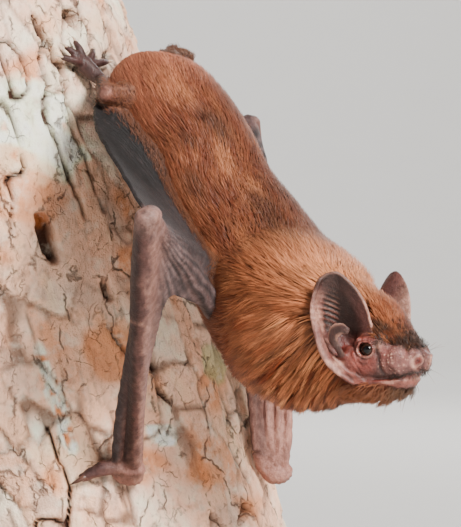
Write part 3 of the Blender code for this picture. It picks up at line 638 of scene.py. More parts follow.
for side in ("R", "L"):
    arm, leg = addArm(side), addLeg(side)
    addWing(side, *arm, *leg)
addTail()
keep("thigh", tubeShell(blobGrid(np.array(limbs["hump"][0]), np.diag(limbs["hump"][1]))))

leftHand = {"tops": (-2.7, -0.9, 0.9, 2.6), "rise": 9.5, "front": 2.1, "lobe": (2.7, 1.8, 2.1)}
wristL = barkPoint(*limbs["wrist"]["L"])
for top in leftHand["tops"]:  # the hand's long bones fan up from the left wrist's lobe
    start = wristL + (top * 0.35, -1.0, -2.6)
    end = wristL + (top - 0.5, -leftHand["front"], leftHand["rise"])
    middle = (start + end) / 2 + (top * 0.12, -0.7, -1.4)
    addLimb("pad", [start, middle, end], (1.05, 0.8, 0.62), sides=12)
keep("pad", tubeShell(blobGrid(wristL + (0.1, -0.6, -3.0), np.diag(leftHand["lobe"]))))


print("shells ready:", len(shells))

skinShape = {"voxel": 0.21, "smoothing": 3, "triangles": 192000}


# One closed skin: all shells joined, rebuilt as one surface of small even cells, and softened.
def fuseShells():
    points = np.vstack([shell[0] for shell in shells])
    starts = np.concatenate(([0], np.cumsum([len(shell[0]) for shell in shells])))
    faceSets = [faces + start for shell, start in zip(shells, starts) for faces in shell[1]]
    faceSets = [np.vstack([faces for faces in faceSets if faces.shape[1] == corners]) for corners in (4, 3)]
    fused = addObject("skinDraft", meshFrom("skinDraft", points, faceSets))
    remesh = fused.modifiers.new("Remesh", "REMESH")
    remesh.mode = "VOXEL"
    remesh.voxel_size = skinShape["voxel"] * mm
    soften = fused.modifiers.new("Soften", "SMOOTH")
    soften.factor = 0.5
    soften.iterations = skinShape["smoothing"]
    return settled(fused)


skinMesh = fuseShells()
print("skin fused:", len(skinMesh.polygons))


# A colour given as screen values from 0 to 255, turned to the linear values that shaders use.
def colour(red, green, blue):
    value = np.array((red, green, blue)) / 255.0
    return np.where(value <= 0.04045, value / 12.92, ((value + 0.055) / 1.055) ** 2.4)


# Two colours or colour arrays mixed by a share for each point.
def blend(first, second, share):
    return first + (second - first) * np.clip(share, 0, 1)[..., None]


# Paint laid over paint: each colour in turn is blended in by its own share.
def layered(paint, *layers):
    for shade, share in layers:
        paint = blend(paint, shade, share)
    return paint


# Distance from each point to the nearest sample, in batches: squared lengths less twice the product.
def nearest(points, samples):
    samples = samples.astype(np.float32)
    own = (samples**2).sum(axis=1)
    batches = np.array_split(points.astype(np.float32), max(1, len(points) // 1500))
    found = [((batch**2).sum(axis=1) + (own - 2 * batch @ samples.T).min(axis=1)) for batch in batches]
    return np.sqrt(np.maximum(np.concatenate(found), 0.0))


hide = {
    "lilac": colour(128, 82, 76), "pink": colour(152, 84, 70), "red": colour(120, 42, 32),
    "pale": colour(206, 156, 136), "smoke": colour(58, 38, 34), "brown": colour(36, 18, 13),
    # The arm highlight and the maroon colour paint light and shade on the forearm and the wrist pad.
    "arm": colour(84, 52, 48), "armHighlight": colour(172, 126, 112), "pad": colour(184, 132, 118),
    "wing": colour(13, 9, 9), "wingPale": colour(78, 66, 66), "sinew": colour(118, 96, 94),
    "foot": colour(78, 46, 42), "leg": colour(42, 29, 27), "knee": colour(158, 104, 88),
    "maroonAndPaintedShade": colour(44, 22, 20),
}

coat = {
    "deep": colour(66, 27, 12), "rufous": colour(112, 51, 24), "tan": colour(186, 115, 74),
    "pink": colour(172, 102, 76), "tip": colour(224, 162, 116), "ruffTip": colour(232, 146, 96),
    "dusk": colour(40, 22, 14),
    # Patches and streaks of tan and deep fur stand for painted sheen and painted shade.
    "patch": 6.5, "streak": (1.3, 10.0),  # sizes of patches, and width and length of streaks
    # The nape highlight lightens neck and head as a painted highlight; the saddle darkens the back.
    "napeHighlight": (1.45, 1.27, 1.18), "saddle": (0.86, 0.83, 0.80),  # neck lighter, back darker
    # patches that run down the back, this way in x and z, the light ones as painted sheen and the dark ones
    # as painted shade: x, z, half length and half width
    "way": (0.62, -0.78),
    "light": [(25.3, 107.6, 5.4, 3.0), (34.2, 95.7, 3.8, 1.7), (38.7, 92.2, 2.2, 1.4),
              (36.9, 85.1, 2.8, 1.5), (31.7, 81.8, 2.6, 1.6), (34.4, 79.6, 3.8, 1.0)],
    "dark": [(32.7, 101.2, 3.8, 2.0), (39.9, 89.2, 4.4, 1.7), (29.4, 91.5, 2.8, 1.8),
             (44.4, 85.5, 3.4, 1.2), (28.4, 99.0, 2.4, 1.2), (47.0, 73.0, 4.0, 2.2)],
}


# Markings of the coat by place: rufous, with tan patches and streaks along the back, which with the deep ones
# are painted sheen and painted shade, a golden brow and nape, brightened further by a painted highlight, a
# darker flank and rump line, painted shade under the throat, a dark tuft in front of each ear, and light
# throat tips.
def coatColour(points, lengths, angles):
    back, side, up = inHead(points)
    left, height = bodyLength - lengths, np.sin(angles)
    onBack = ease(-0.5, 0.5, height)
    patches = noise(points, coat["patch"], 21, 2)
    streaks = noise(np.stack((lengths / coat["streak"][1], angles * 9.0 / coat["streak"][0],
                              lengths * 0 + 0.5), axis=-1), 1.0, 22, 3)
    fine = noise(points, 1.1, 23, 2)
    # Tan where this field is high and deep where it is low: painted sheen and painted shade.
    sheenField = 0.55 * patches + 0.75 * streaks + 0.35 * fine
    mixed = blend(coat["rufous"], coat["tan"], ease(0.15, 0.75, sheenField) * (0.2 + 0.45 * onBack))
    mixed = blend(mixed, coat["deep"], ease(0.05, 0.7, -sheenField) * 0.7)
    # The listed light and dark patches on the back: painted sheen and painted shade.
    for kind, shade, most in (("light", "tan", 0.75), ("dark", "deep", 0.85)):
        for x, z, long, wide in coat[kind]:
            across = (points[..., 0] - x) * coat["way"][1] - (points[..., 2] - z) * coat["way"][0]
            along = (points[..., 0] - x) * coat["way"][0] + (points[..., 2] - z) * coat["way"][1]
            spot = np.exp(-(across / wide) ** 2 - (along / long) ** 2)
            mixed = blend(mixed, coat[shade], ease(0.2, 0.9, spot + 0.45 * streaks) * most * (spot > 0.02))
    tuft = np.exp(-((back - 5.4) / 1.7) ** 2 - ((np.abs(side) - 4.4) / 1.3) ** 2 - ((up - 4.2) / 1.1) ** 2)
    mixed = layered(
        mixed,
        (coat["pink"] * 1.15, bell(lengths, 5.0, 7.0) * (0.7 + 0.3 * streaks)),
        (hide["smoke"] * 1.3, ease(2.8, 0.6, lengths + 0.8 * patches) * 0.8),
        (coat["pink"], bell(height, 0.05, 0.45) * ease(24, 31, left) * 0.35),
        (coat["tan"], bell(left, 20.0, 7.0) * onBack * (0.8 + 0.3 * streaks)),
        (coat["tip"], bell(left, 17.0, 8.0) * ease(0.3, 0.95, height) * (0.55 + 0.3 * streaks)),
        (coat["rufous"], bell(left, 8.5, 2.4) * ease(0.2, 0.6, height) * 0.5),
        # Darker under the throat and chest: painted shade.
        (coat["deep"], ease(0.55, 0.95, -height) * bell(left, 16, 12) * 0.35),
        (coat["dusk"], np.clip(tuft * 1.5, 0, 0.97)),
        (coat["dusk"], ease(5.5, 2.2, back) * (left < 12) * 0.85))
    # Neck and head made lighter: a painted highlight.
    mixed = mixed * blend(np.ones(3), np.array(coat["napeHighlight"]), ease(29, 21, left) * ease(1.0, 5.0, back))
    mixed = mixed * blend(np.ones(3), np.array(coat["saddle"]), bell(left, 45, 18))
    # Brighter along the streaks: painted sheen.
    return mixed * (1 + 0.2 * fine + 0.16 * streaks)[..., None]


# Rows of three numbers read from all vertices, normals or triangles of a mesh.
def rowsOf(elements, field, kind=np.float32):
    values = np.empty(len(elements) * 3, kind)
    elements.foreach_get(field, values)
    return values.reshape(-1, 3)


# Fewer faces where they matter less: collapsing edges, with the head held back by its weights.
def thinSkin(mesh):
    draft = addObject("skinDraft", mesh)
    back, side, up = inHead(rowsOf(mesh.vertices, "co") / mm)
    group = draft.vertex_groups.new(name="keep")
    onHead = (back < 15.5) & (back > -3) & (np.abs(side) < 12) & (np.abs(up) < 13)
    group.add(np.flatnonzero(onHead).tolist(), 1.0, "REPLACE")
    thinning = draft.modifiers.new("Thin", "DECIMATE")
    thinning.ratio = skinShape["triangles"] / (2 * len(mesh.polygons))
    thinning.vertex_group = "keep"
    thinning.invert_vertex_group = True
    thinning.vertex_group_factor = 3.0
    return settled(draft)


skinMesh = thinSkin(skinMesh)
skinMesh.calc_loop_triangles()
print("skin thinned:", len(skinMesh.loop_triangles))

samples = {name: np.vstack(parts) for name, parts in regions.items()}
samples = {name: points[:: max(1, len(points) // 2600)] for name, points in samples.items()}
spots = rowsOf(skinMesh.vertices, "co").astype(float) / mm
normals = rowsOf(skinMesh.vertex_normals, "vector").astype(float)
reach = {name: nearest(spots, points) for name, points in samples.items()}
parts = {name: np.exp(-(np.minimum(distance, 6.0) / 0.75) ** 2) + 1e-9 for name, distance in reach.items()}
total = sum(parts.values())
parts = {name: share / total for name, share in parts.items()}

# Measures on the head that its relief and its paint share.
headBack, headSide, headUp = inHead(spots)
headAside = np.abs(headSide)
bodyPart = parts["body"]
bare = bareness(spots) * bodyPart
eyeReach = np.hypot(headBack - head["eye"][0], headUp - head["eye"][2])
eyeReach = eyeReach + 9.0 * (headAside < 3.0) + 9.0 * (parts["ear"] > 0.6)
nostrilReach = np.linalg.norm(np.stack((headBack + 0.45, headAside - 2.15, headUp - 0.4), axis=-1), axis=1)
mouthAbove = headUp - mouthHeight(headBack)
onMouth = ease(-2.5, -0.8, headBack) * (1 - ease(7.4, 8.6, headBack)) * bodyPart * (headAside < 8)
earFolds = np.sin(headUp * 8.4 - 3.0 * headBack)  # five ridges on the ear's rear wall
earFoldShare = bell(headUp, 5.4, 1.9)
folds = {"socket": 0.5, "lid": 0.2, "mouth": 0.26, "lip": 0.1, "nostril": 1.1, "rim": 0.2, "crease": 0.36,
         "ridge": 0.13}


# Fine shape of the head: bells of distance raise lids, lips and nostril rims, and sink eyes, mouth and folds.
def headRelief():
    near = bodyPart * (headBack < 12)
    rise = -(folds["socket"] + 0.5 * ease(6.5, 7.3, headBack)) * (1 - ease(0.78, 1.06, eyeReach))
    rise = rise + folds["lid"] * bell(eyeReach, 1.08, 0.17)
    rise = rise + 0.14 * bell(eyeReach, 1.8, 0.2) - 0.16 * bell(eyeReach, 1.48, 0.14)
    rise = rise - folds["mouth"] * bell(mouthAbove, 0.0, 0.2) * onMouth
    rise = rise + folds["lip"] * (bell(mouthAbove, 0.55, 0.3) + 1.3 * bell(mouthAbove, -0.6, 0.34)) * onMouth
    rise = rise - folds["nostril"] * bell(nostrilReach, 0.0, 0.78)
    rise = rise + folds["rim"] * bell(nostrilReach, 1.1, 0.2)
    before = bell(headBack, 4.75 + 0.22 * headUp, 0.3) * ease(-2.4, -1.2, headUp)
    behind = bell(headBack, 8.6 - 0.3 * headUp, 0.28) * ease(-3.4, -2.6, headUp)
    creases = before * (1 - ease(2.0, 2.8, headUp)) + 0.7 * behind * (1 - ease(0.4, 1.4, headUp))
    rise = rise - folds["crease"] * creases * (headAside > 3)
    wart = np.stack((headBack - 5.0, (headAside - 5.0) * 0.6, (headUp - 2.0) * 0.6), axis=-1)
    rise = rise + 0.3 * bell(np.linalg.norm(wart, axis=1), 0.0, 0.42)
    rise = rise - 0.22 * bell(headAside, 0.0, 0.55) * (1 - ease(1.0, 2.6, headBack)) * ease(-1.6, 0.2, headUp)
    lumps = 0.14 * noise(spots, 0.95, 31, 2) * bare
    wrinkles = 0.07 * np.sin((headUp * 0.6 - headBack) * 7.5 + 2.5 * noise(spots, 1.6, 32))
    wrinkles = wrinkles * ease(6.0, 7.5, headBack) * bare
    rows = earFolds * earFoldShare * ease(11.5, 12.3, headBack) * ease(0.95, 0.8, earShare(spots))
    return (rise * near + lumps + wrinkles) * (headBack < 14) + folds["ridge"] * rows * parts["ear"]


wingAcross = unit((0.832, 0.25, 0.555))  # across the folds of the wing


# Relief of the limbs and membranes: sines across the lie of the skin, shaken by noise.
def limbRelief():
    across = spots @ wingAcross
    along = spots @ unit((0.555, 0.0, -0.832))
    shake = noise(spots, 2.6, 33, 2)
    lines = np.sin(across * 5.4 + 2.6 * shake) * (0.6 + 0.4 * noise(spots, 3.0, 34))
    rise = 0.10 * lines * (parts["membrane"] + 0.6 * parts["front"])
    crumpled = np.sin(along * 4.2 + 3.4 * noise(spots, 2.0, 35, 2))
    rise = rise + 0.13 * crumpled * parts["membrane"] * bell(spots[:, 2], 112.0, 7.0)
    creases = np.sin((spots @ unit((0.75, 0.3, 0.65))) * 8.2 + 2.2 * noise(spots, 2.2, 36))
    rise = rise + 0.085 * creases * parts["pad"]
    rings = np.sin(spots[:, 2] * 6.0 + 3.0 * shake) * parts["arm"]
    rise = rise + 0.07 * rings * (0.06 + 0.9 * bell(spots[:, 2], 52.0, 4.0))
    return rise + 0.07 * noise(spots, 0.7, 37, 2) * (parts["foot"] + parts["leg"] + parts["arm"])


relief = headRelief() + limbRelief()
spots = spots + normals * relief[:, None]
skinMesh.vertices.foreach_set("co", (spots * mm).astype(np.float32).ravel())
skinMesh.update()
print("skin shaped")


# Muzzle and cheeks: lilac pink, redder round the eye, pale pimples, dark lips, pale rims, red nostrils, and
# painted shade as dark lines in the creases, the mouth's groove, the nostrils' holes, the muzzle's middle
# groove and the groove round each lid.
def facePaint():
    first, _, owner = cells(spots, 0.62, 41)
    pimples = (1 - ease(0.16, 0.34, first)) * (owner > 0.45) * bell(headUp, 0.0, 2.2) * 0.75
    blotch = noise(spots, 1.0, 51, 2)
    wart = np.hypot(headBack - 5.0, (headUp - 2.0) * 0.6)
    return layered(
        hide["lilac"],
        (hide["pink"], ease(4.6, 7.0, headBack) * 0.75 + 0.2 * noise(spots, 1.8, 42)),
        (hide["red"], bell(eyeReach, 1.9, 1.1) * 0.55
         + 0.5 * bell(headUp, -2.2, 0.8) * bell(headBack, 6.8, 1.6)),
        (hide["pale"], pimples * (1 - ease(4.2, 5.2, headBack))),
        (hide["smoke"], 0.75 * ease(1.5, 2.5, headUp) * (1 - ease(3.6, 4.8, headBack))),
        # Dark along the crease on the muzzle's side: painted shade.
        (hide["smoke"], 0.8 * bell(headBack, 4.75 + 0.22 * headUp, 0.4) * (headUp < 2.4)),
        (hide["smoke"], ease(0.0, 0.5, -blotch) * 0.45 + 0.35 * ease(-1.2, -2.6, headUp)),
        (hide["smoke"], 0.7 * bell(mouthAbove, 0.4, 0.42) * onMouth),
        (hide["pink"], 0.8 * bell(mouthAbove, -0.95, 0.7) * onMouth * (headBack < 5)),
        (hide["lilac"] * 0.75, 0.7 * bell(mouthAbove, -0.7, 0.6) * onMouth * ease(4.2, 5.6, headBack)),
        (hide["pale"], (0.35 + 0.6 * blotch) * bell(mouthAbove, -0.5, 0.3) * onMouth
         * ease(5.0, 3.6, headBack)),
        (hide["red"], 0.9 * bell(mouthAbove, -0.12, 0.18) * onMouth),
        # Dark along the mouth's groove: painted shade.
        (hide["brown"], 0.9 * bell(mouthAbove, 0.0, 0.13) * onMouth),
        (hide["pale"], 0.8 * bell(nostrilReach, 1.16, 0.24) * (0.6 + blotch)),
        (hide["red"], 1.0 - ease(0.74, 0.98, nostrilReach)),
        # Dark in the nostril's hole: painted shade.
        (hide["brown"], 0.95 * bell(nostrilReach, 0.1, 0.5)),
        # Dark down the muzzle's middle groove: painted shade.
        (hide["smoke"], 0.7 * bell(headAside, 0.0, 0.8) * (headBack < 2.5) * (headUp > -1.2)),
        # Dark in the groove round the lid: painted shade.
        (hide["smoke"], 0.6 * bell(eyeReach, 1.36, 0.16)),
        (hide["pale"], 0.4 * bell(eyeReach, 1.12, 0.1) * ease(1.6, 0.2, headUp)),
        (hide["brown"], 1.0 - ease(0.9, 0.99, eyeReach)),
        (hide["pale"], 0.6 * (headBack > 4) * bell(wart, 0.0, 0.4)))


# Ears: a pale flange behind and below, a dark velvet hollow above with pale ridges, red below, pale rims; the
# left ear is painted paler than the right, as painted light.
def earPaint():
    facing = np.where(headSide > 0, normals @ -earInward[1.0], normals @ -earInward[-1.0])
    mirrored = np.stack((headBack, headAside, headUp), axis=-1)
    rim = nearest(mirrored, spline(np.vstack((ear["rim"], ear["rim"][:1])), count=160))
    rear = ease(-0.4, 1.0, (headBack - 12.0) - 0.32 * (headUp - 3.0)) + ease(-0.9, -1.6, headUp)
    rear = np.clip(rear, 0, 1)
    ridges = ease(0.0, 0.8, earFolds) * earFoldShare * ease(11.4, 12.3, headBack)
    flange = blend(hide["lilac"], hide["pale"], 0.35 + 0.7 * noise(spots, 1.5, 43, 2))
    inner = layered(
        hide["brown"],
        (hide["smoke"], ease(6.0, 11.0, headUp) + 0.5 * ease(11.5, 8.5, headBack)),
        (hide["red"], ease(3.2, 0.4, headUp) * 0.6),
        (blend(hide["pink"], hide["pale"], ease(4.0, 7.0, headUp) * 0.6), ridges * 0.55),
        (hide["lilac"], 0.7 * ease(3.0, 0.8, rim) * (1 - rear) * ease(10.5, 5.5, headUp)),
        (flange, rear * ease(2.6, 1.6, rim)),
        (hide["pale"], 0.7 * ease(0.45, 0.15, rim) * (1 - ease(6, 10, headUp) * 0.6)),
        # Left ear's inside paler: painted light.
        (hide["pale"], 0.4 * (headSide < 0) * ease(11.5, 8.0, headBack) * ease(2.6, 1.0, rim)))
    # Less dark on the left ear's outside than on the right's: painted light.
    dark = ease(5.5, 10.0, headUp + 0.35 * (headBack - 9.0)) * np.where(headSide < 0, 0.45, 0.85)
    outer = layered(
        hide["lilac"] * 0.8,
        # Left ear's outside paler in front: painted light.
        (hide["pale"] * 0.8, 0.8 * (headSide < 0) * ease(11.0, 8.0, headBack)),
        (hide["smoke"], dark + 0.25 * noise(spots, 2.0, 44)))
    disc = nearest(mirrored, spline(tragus["rows"], count=40)[:, :3])
    blade = blend(hide["smoke"] * 1.7, hide["pale"], ease(0.45, 0.95, disc) * 0.8)
    return layered(
        outer,
        (inner, ease(-0.25, 0.3, facing)),
        (facePaint(), ease(9.0, 8.2, headBack) * ease(2.6, 1.8, headUp)),
        (blade, (1 - ease(1.1, 1.5, disc)) * ease(6.9, 7.3, headAside) * (rim > 1.2)))


# Whole skin: each region's colours weighted by its share, with specks and mottling from noise.
def paintSkin():
    x, y, z = spots.T
    toSide, toFront, toTop = normals.T
    fur = coatColour(spots, *nearestLength(spots)) * 0.72
    mottle = noise(spots, 2.4, 45, 3)
    specks = 1 - ease(0.1, 0.22, cells(spots, 1.1, 46)[0])
    rows = np.sin((spots @ wingAcross) * 7.5 + 2.0 * noise(spots, 3.0, 49))
    strip = noise(spots * (1, 1, 0.12), 0.8, 47, 2)
    rays = np.arctan2(z - limbs["elbow"]["R"][2], x - limbs["elbow"]["R"][0])
    rays = np.sin(rays * 60 + 2 * noise(spots, 3.0, 50))
    toElbow, toKnee, toLeftKnee = (np.linalg.norm(spots - limbs[joint][side], axis=1)
                                   for joint, side in (("elbow", "R"), ("knee", "R"), ("knee", "L")))
    scar = bell(z, 73.6 - 0.3 * (x - 20), 0.2) * (toFront < 0) * (x < 30)
    shades = {
        "body": blend(fur, facePaint(), bare / np.maximum(bodyPart, 1e-6)),
        "thigh": blend(fur, hide["smoke"] * 1.6, 0.3 + mottle),
        "ear": earPaint(),
        "arm": layered(
            hide["arm"],
            # Lighter on the side that faces the key lamp: a painted highlight.
            (hide["armHighlight"], 0.1 + 0.35 * mottle + 0.55 * ease(0.05, 0.6, toSide + 0.6 * strip)),
            # Maroon on the side turned away from the lamp: painted shade.
            (hide["maroonAndPaintedShade"], 0.95 * ease(-0.05, 0.6, -toSide + 0.5 * strip) * ease(90.0, 84.0, z)),
            # A pale patch on top of the elbow: a painted highlight.
            (hide["pale"], 0.3 * bell(toElbow, 1.5, 0.9) * (toFront < -0.3)),
            (hide["pale"], 0.45 * scar)),
        "pad": layered(
            hide["pad"],
            (hide["pale"], 0.1 + 0.5 * mottle),
            # Maroon in random mottling, and darker where the pad faces down: painted shade.
            (hide["maroonAndPaintedShade"], ease(-0.1, 0.8, -mottle) * 0.45 + 0.35 * ease(0.4, 0.9, -toTop))),
        "membrane": layered(
            hide["wing"],
            # Paler low down and darker towards the top: painted shade over the upper wing.
            (hide["wingPale"], 0.6 * ease(97.0, 82.0, z) + 0.2 * mottle
             + specks * ease(-0.2, 0.8, rows) * 0.65),
            (fur, ease(2.0, 0.3, reach["body"]) * 0.5),
            (hide["wingPale"], bell(z, 113.0, 5.0) * (0.2 + 0.5 * mottle))),
        "front": layered(
            hide["sinew"],
            (hide["wingPale"] * 0.6, 0.5 + 0.5 * rays + 0.3 * mottle),
            (hide["wing"], 0.35 * ease(26.0, 32.0, x) + 0.25 * mottle)),
        "foot": blend(hide["foot"], hide["smoke"], 0.5 + mottle),
        "leg": layered(
            hide["leg"],
            (hide["smoke"], 0.4 + mottle),
            (hide["knee"], 0.8 * bell(toKnee, 0.9, 0.8) * (0.7 + mottle)),
            (hide["wingPale"], 0.6 * bell(toLeftKnee, 0.9, 1.2) * (0.6 + mottle)),
            (hide["wing"], 0.6 * ease(3.0, 1.0, nearest(spots, samples["body"])))),
    }
    paint = sum(shade * parts[name][:, None] for name, shade in shades.items())
    return paint * (1 + 0.10 * noise(spots, 0.6, 48, 2))[:, None]


# Length along the body's line and turn about it for any place, from the nearest traced point.
def nearestLength(points):
    line = traceRows[::6, :3].astype(np.float32)
    own = (line**2).sum(axis=1)
    batches = np.array_split(points.astype(np.float32), max(1, len(points) // 4000))
    index = np.concatenate([(own - 2 * batch @ line.T).argmin(axis=1) for batch in batches]) * 6
    offset = points - traceRows[index, :3]
    right = (offset * traceRows[index, 3:6]).sum(axis=1) / np.maximum(traceRows[index, 9], 0.5)
    up = (offset * traceRows[index, 6:9]).sum(axis=1) / np.maximum(traceRows[index, 10], 0.5)
    return traceLengths[index], np.arctan2(up, right)


# One colour for each point of a mesh, kept between 0 and 1.
def setColours(mesh, name, colours):
    data = np.column_stack((np.clip(colours, 0, 1), np.ones(len(colours)))).astype(np.float32)
    mesh.attributes.new(name, "FLOAT_COLOR", "POINT").data.foreach_set("color", data.ravel())


setColours(skinMesh, "tint", paintSkin())
textures = {
    "wet": (bell(nostrilReach, 0.5, 0.6) + bell(eyeReach, 1.1, 0.3) * bodyPart
            + 0.6 * bell(mouthAbove, -0.3, 0.5) * onMouth),
    "pimpled": (bell(headBack, 2.6, 2.4) * bell(headUp, 0.1, 2.0) * bodyPart
                * ease(0.8, 1.3, nostrilReach)),
    "leather": parts["membrane"] + 0.7 * parts["front"] + 0.6 * parts["leg"],
    "furred": bodyPart - bare,
}
for name, share in textures.items():
    setAttribute(skinMesh, name, np.clip(share, 0, 1))
print("skin painted")


# A socket that takes part in sums and products, so that shader maths reads as maths.
class Wire:
    def __init__(self, finish, socket):
        self.finish, self.socket = finish, socket

    def maths(self, operation, first, second):
        return self.finish.node("ShaderNodeMath", {"operation": operation}, {0: first, 1: second})

    def __add__(self, other):
        return self.maths("ADD", self, other)

    def __radd__(self, other):
        return self.maths("ADD", other, self)

    def __sub__(self, other):
        return self.maths("SUBTRACT", self, other)

    def __rsub__(self, other):
        return self.maths("SUBTRACT", other, self)

    def __mul__(self, other):
        return self.maths("MULTIPLY", self, other)

    def __rmul__(self, other):
        return self.maths("MULTIPLY", other, self)


# A material and its nodes, starting from constants on the shader's own sockets.
class Finish:
    def __init__(self, name, **constants):
        self.material = bpy.data.materials.new(name)
        self.material.use_nodes = True
        self.tree = self.material.node_tree
        self.shader = self.tree.nodes["Principled BSDF"]
        for socket, value in constants.items():
            self.shader.inputs[socket.replace("_", " ")].default_value = value
        self.place = self.node("ShaderNodeTexCoord", output="Object")

    # A socket fed by a wire, a colour or a number.
    def feed(self, socket, value):
        if isinstance(value, Wire):
            self.tree.links.new(value.socket, socket)
        elif socket.type == "RGBA":
            socket.default_value = (*value[:3], 1.0)
        else:
            socket.default_value = value

    # A node with its settings and inputs, given back as the wire of one output.
    def node(self, kind, settings=None, inputs=None, output=0):
        node = self.tree.nodes.new(kind)
        for key, value in (settings or {}).items():
            setattr(node, key, value)
        for key, value in (inputs or {}).items():
            self.feed(node.inputs[key], value)
        return Wire(self, node.outputs[output])

    # Noise and cells take their size in millimetres.
    def noise(self, size, detail=4.0, roughness=0.55, stretch=None, turn=(0.0, 0.0, 0.0)):
        place = self.place
        if stretch:
            place = self.node("ShaderNodeMapping", {}, {"Vector": place, "Rotation": turn})
            place = self.node("ShaderNodeMapping", {}, {"Vector": place, "Scale": stretch})
        return self.node("ShaderNodeTexNoise", {}, {"Vector": place, "Scale": 1.0 / (size * mm),
                                                   "Detail": detail, "Roughness": roughness})

    def cells(self, size, feature="F1", place=None):
        return self.node("ShaderNodeTexVoronoi", {"feature": feature},
                         {"Vector": place or self.place, "Scale": 1.0 / (size * mm)})

    # A mesh's own numbers or colours by name.
    def attribute(self, name, output="Fac"):
        return self.node("ShaderNodeAttribute", {"attribute_name": name}, output=output)

    # Eased step of a value from low to high, carried to the range from start to stop.
    def between(self, value, low, high, start=0.0, stop=1.0):
        return self.node("ShaderNodeMapRange", {"interpolation_type": "SMOOTHSTEP"},
                         {"Value": value, "From Min": low, "From Max": high, "To Min": start, "To Max": stop})

    # Two colours mixed by a share, or the second multiplied onto the first.
    def mix(self, share, first, second, how="MIX"):
        return self.node("ShaderNodeMix", {"data_type": "RGBA", "blend_type": how},
                         {0: share, 6: first, 7: second}, output=2)

    # Bumps from a height, their depth in millimetres.
    def relief(self, height, depth, strength=1.0):
        return self.node("ShaderNodeBump", {}, {"Height": height, "Distance": depth * mm,
                                                "Strength": strength})

    # Roughness between two values by the middle range of a noise.
    def rough(self, value, low, high):
        return self.between(value, 0.3, 0.7, low, high)

    # The painted tint, darkened where the wire is low, with the given darker colour.
    def painted(self, wire, most, shade, low=0.4, high=0.6):
        share = self.between(wire, high, low, 0.0, most)
        return self.mix(share, self.attribute("tint", "Color"), shade, "MULTIPLY")

    # Wires led to the shader's own sockets.
    def ends(self, **wires):
        for socket, wire in wires.items():
            self.feed(self.shader.inputs[socket.replace("_", " ")], wire)
        return self.material


# Bare skin: painted tint, mottled and grained, with pores on the face and leathery creases on the wings.
def skinFinish():
    finish = Finish("bat skin", Subsurface_Weight=0.12, Subsurface_Radius=(0.9, 0.35, 0.22),
                    Subsurface_Scale=0.5 * mm, Specular_IOR_Level=0.42)
    leather, furred, wet = (finish.attribute(name) for name in ("leather", "furred", "wet"))
    grain = finish.noise(0.22, 4, 0.6)
    pores = finish.cells(0.34)
    folds = finish.noise(0.8, 5, 0.62, (1.0, 1.0, 0.6))
    tint = finish.painted(grain, 0.4, (0.6, 0.5, 0.48))
    dark = finish.mix(finish.between(folds, 0.58, 0.40, 0.0, 0.55), tint, (0.42, 0.32, 0.30), "MULTIPLY")
    pits = finish.between(pores, 0.0, 0.5, 0.25, 0.0) * (1.0 - leather)
    height = (folds * 0.9 + grain * 0.35 - pits) * (1.0 - furred * 0.6)
    strands = finish.noise(0.16, 3, 0.6, (1.0, 1.0, 0.12))
    lines = finish.noise(0.42, 3, 0.6, (1.0, 1.0, 0.14), (0.0, 0.59, 0.0))
    flecks = finish.between(lines, 0.60, 0.68) * finish.between(grain, 0.5, 0.62) * leather
    dark = finish.mix(flecks * 0.8, dark, hide["wingPale"])
    pimples = finish.between(finish.cells(0.55), 0.34, 0.16) * finish.attribute("pimpled")
    pimples = pimples * finish.between(grain, 0.42, 0.52)
    dark = finish.mix(pimples * 0.75, dark, hide["pale"] * 1.15)
    bump = finish.relief(height + strands * furred * 0.8 + lines * leather * 2.2 + pimples * 0.8, 0.16, 0.9)
    rough = finish.between(grain, 0.3, 0.75, 0.42, 0.6) + leather * 0.24 + furred * 0.2 - wet * 0.26
    return finish.ends(Base_Color=dark, Roughness=rough, Normal=bump)


solids = [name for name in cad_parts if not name.startswith(("stand_", "perch_", "eye_"))]
addPiece("bat_skin", skinMesh, skinFinish(), "arm_skin", *solids)
skinMesh.polygons.foreach_set("use_smooth", np.ones(len(skinMesh.polygons), bool))
print("skin in place")

eyes = {
    "radius": 0.97, "bulge": 0.05, "centre": (6.5, 5.32, 1.0),  # back, side and up in the head
    "pupil": colour(4, 3, 3), "iris": (colour(22, 12, 8), colour(58, 34, 22)), "rim": colour(22, 14, 12),
}


# Eyeball: a ball whose front bulges by a bell of the angle from its looking direction.
def makeEye(sign):
    look = unit(head["right"] * sign + head["forward"] * 0.3 + head["up"] * 0.05)
    side = unit(np.cross(look, head["up"]))
    polar = np.linspace(0.02, math.pi - 0.02, 28)[:, None, None]
    turn = turns(40)[None, :, None]
    radius = eyes["radius"] * (1 + eyes["bulge"] * np.exp(-(polar / 0.6) ** 2))
    around = np.cos(turn) * side + np.sin(turn) * np.cross(side, look)
    points = np.sin(polar) * around + np.cos(polar) * look
    centre = headPoint(eyes["centre"][0], eyes["centre"][1] * sign, eyes["centre"][2])
    points, faces = tubeShell(centre + radius * points)
    mesh = meshFrom("eyeball", points, faces)
    setAttribute(mesh, "turned", np.arccos(np.clip(unit(points - centre) @ look, -1, 1)))
    return mesh


# Eye: a black pupil, a streaked brown iris and a dark rim, by the angle from the looking direction.
def eyeFinish():
    finish = Finish("eye gloss", Specular_IOR_Level=0.3)
    turned = finish.attribute("turned")
    streaks = finish.noise(0.12, 3, 0.6)
    shade = finish.mix(finish.between(turned, 0.45, 0.75), eyes["pupil"], finish.mix(streaks, *eyes["iris"]))
    shade = finish.mix(finish.between(turned, 0.95, 1.25), shade, eyes["rim"])
    return finish.ends(Base_Color=shade, Roughness=finish.rough(streaks, 0.05, 0.11))


eyeGloss = eyeFinish()
for side, sign in (("R", 1.0), ("L", -1.0)):
    addPiece("eye_ball_" + side, makeEye(sign), eyeGloss, "eye", "eye_" + side)
print("eyes ready")

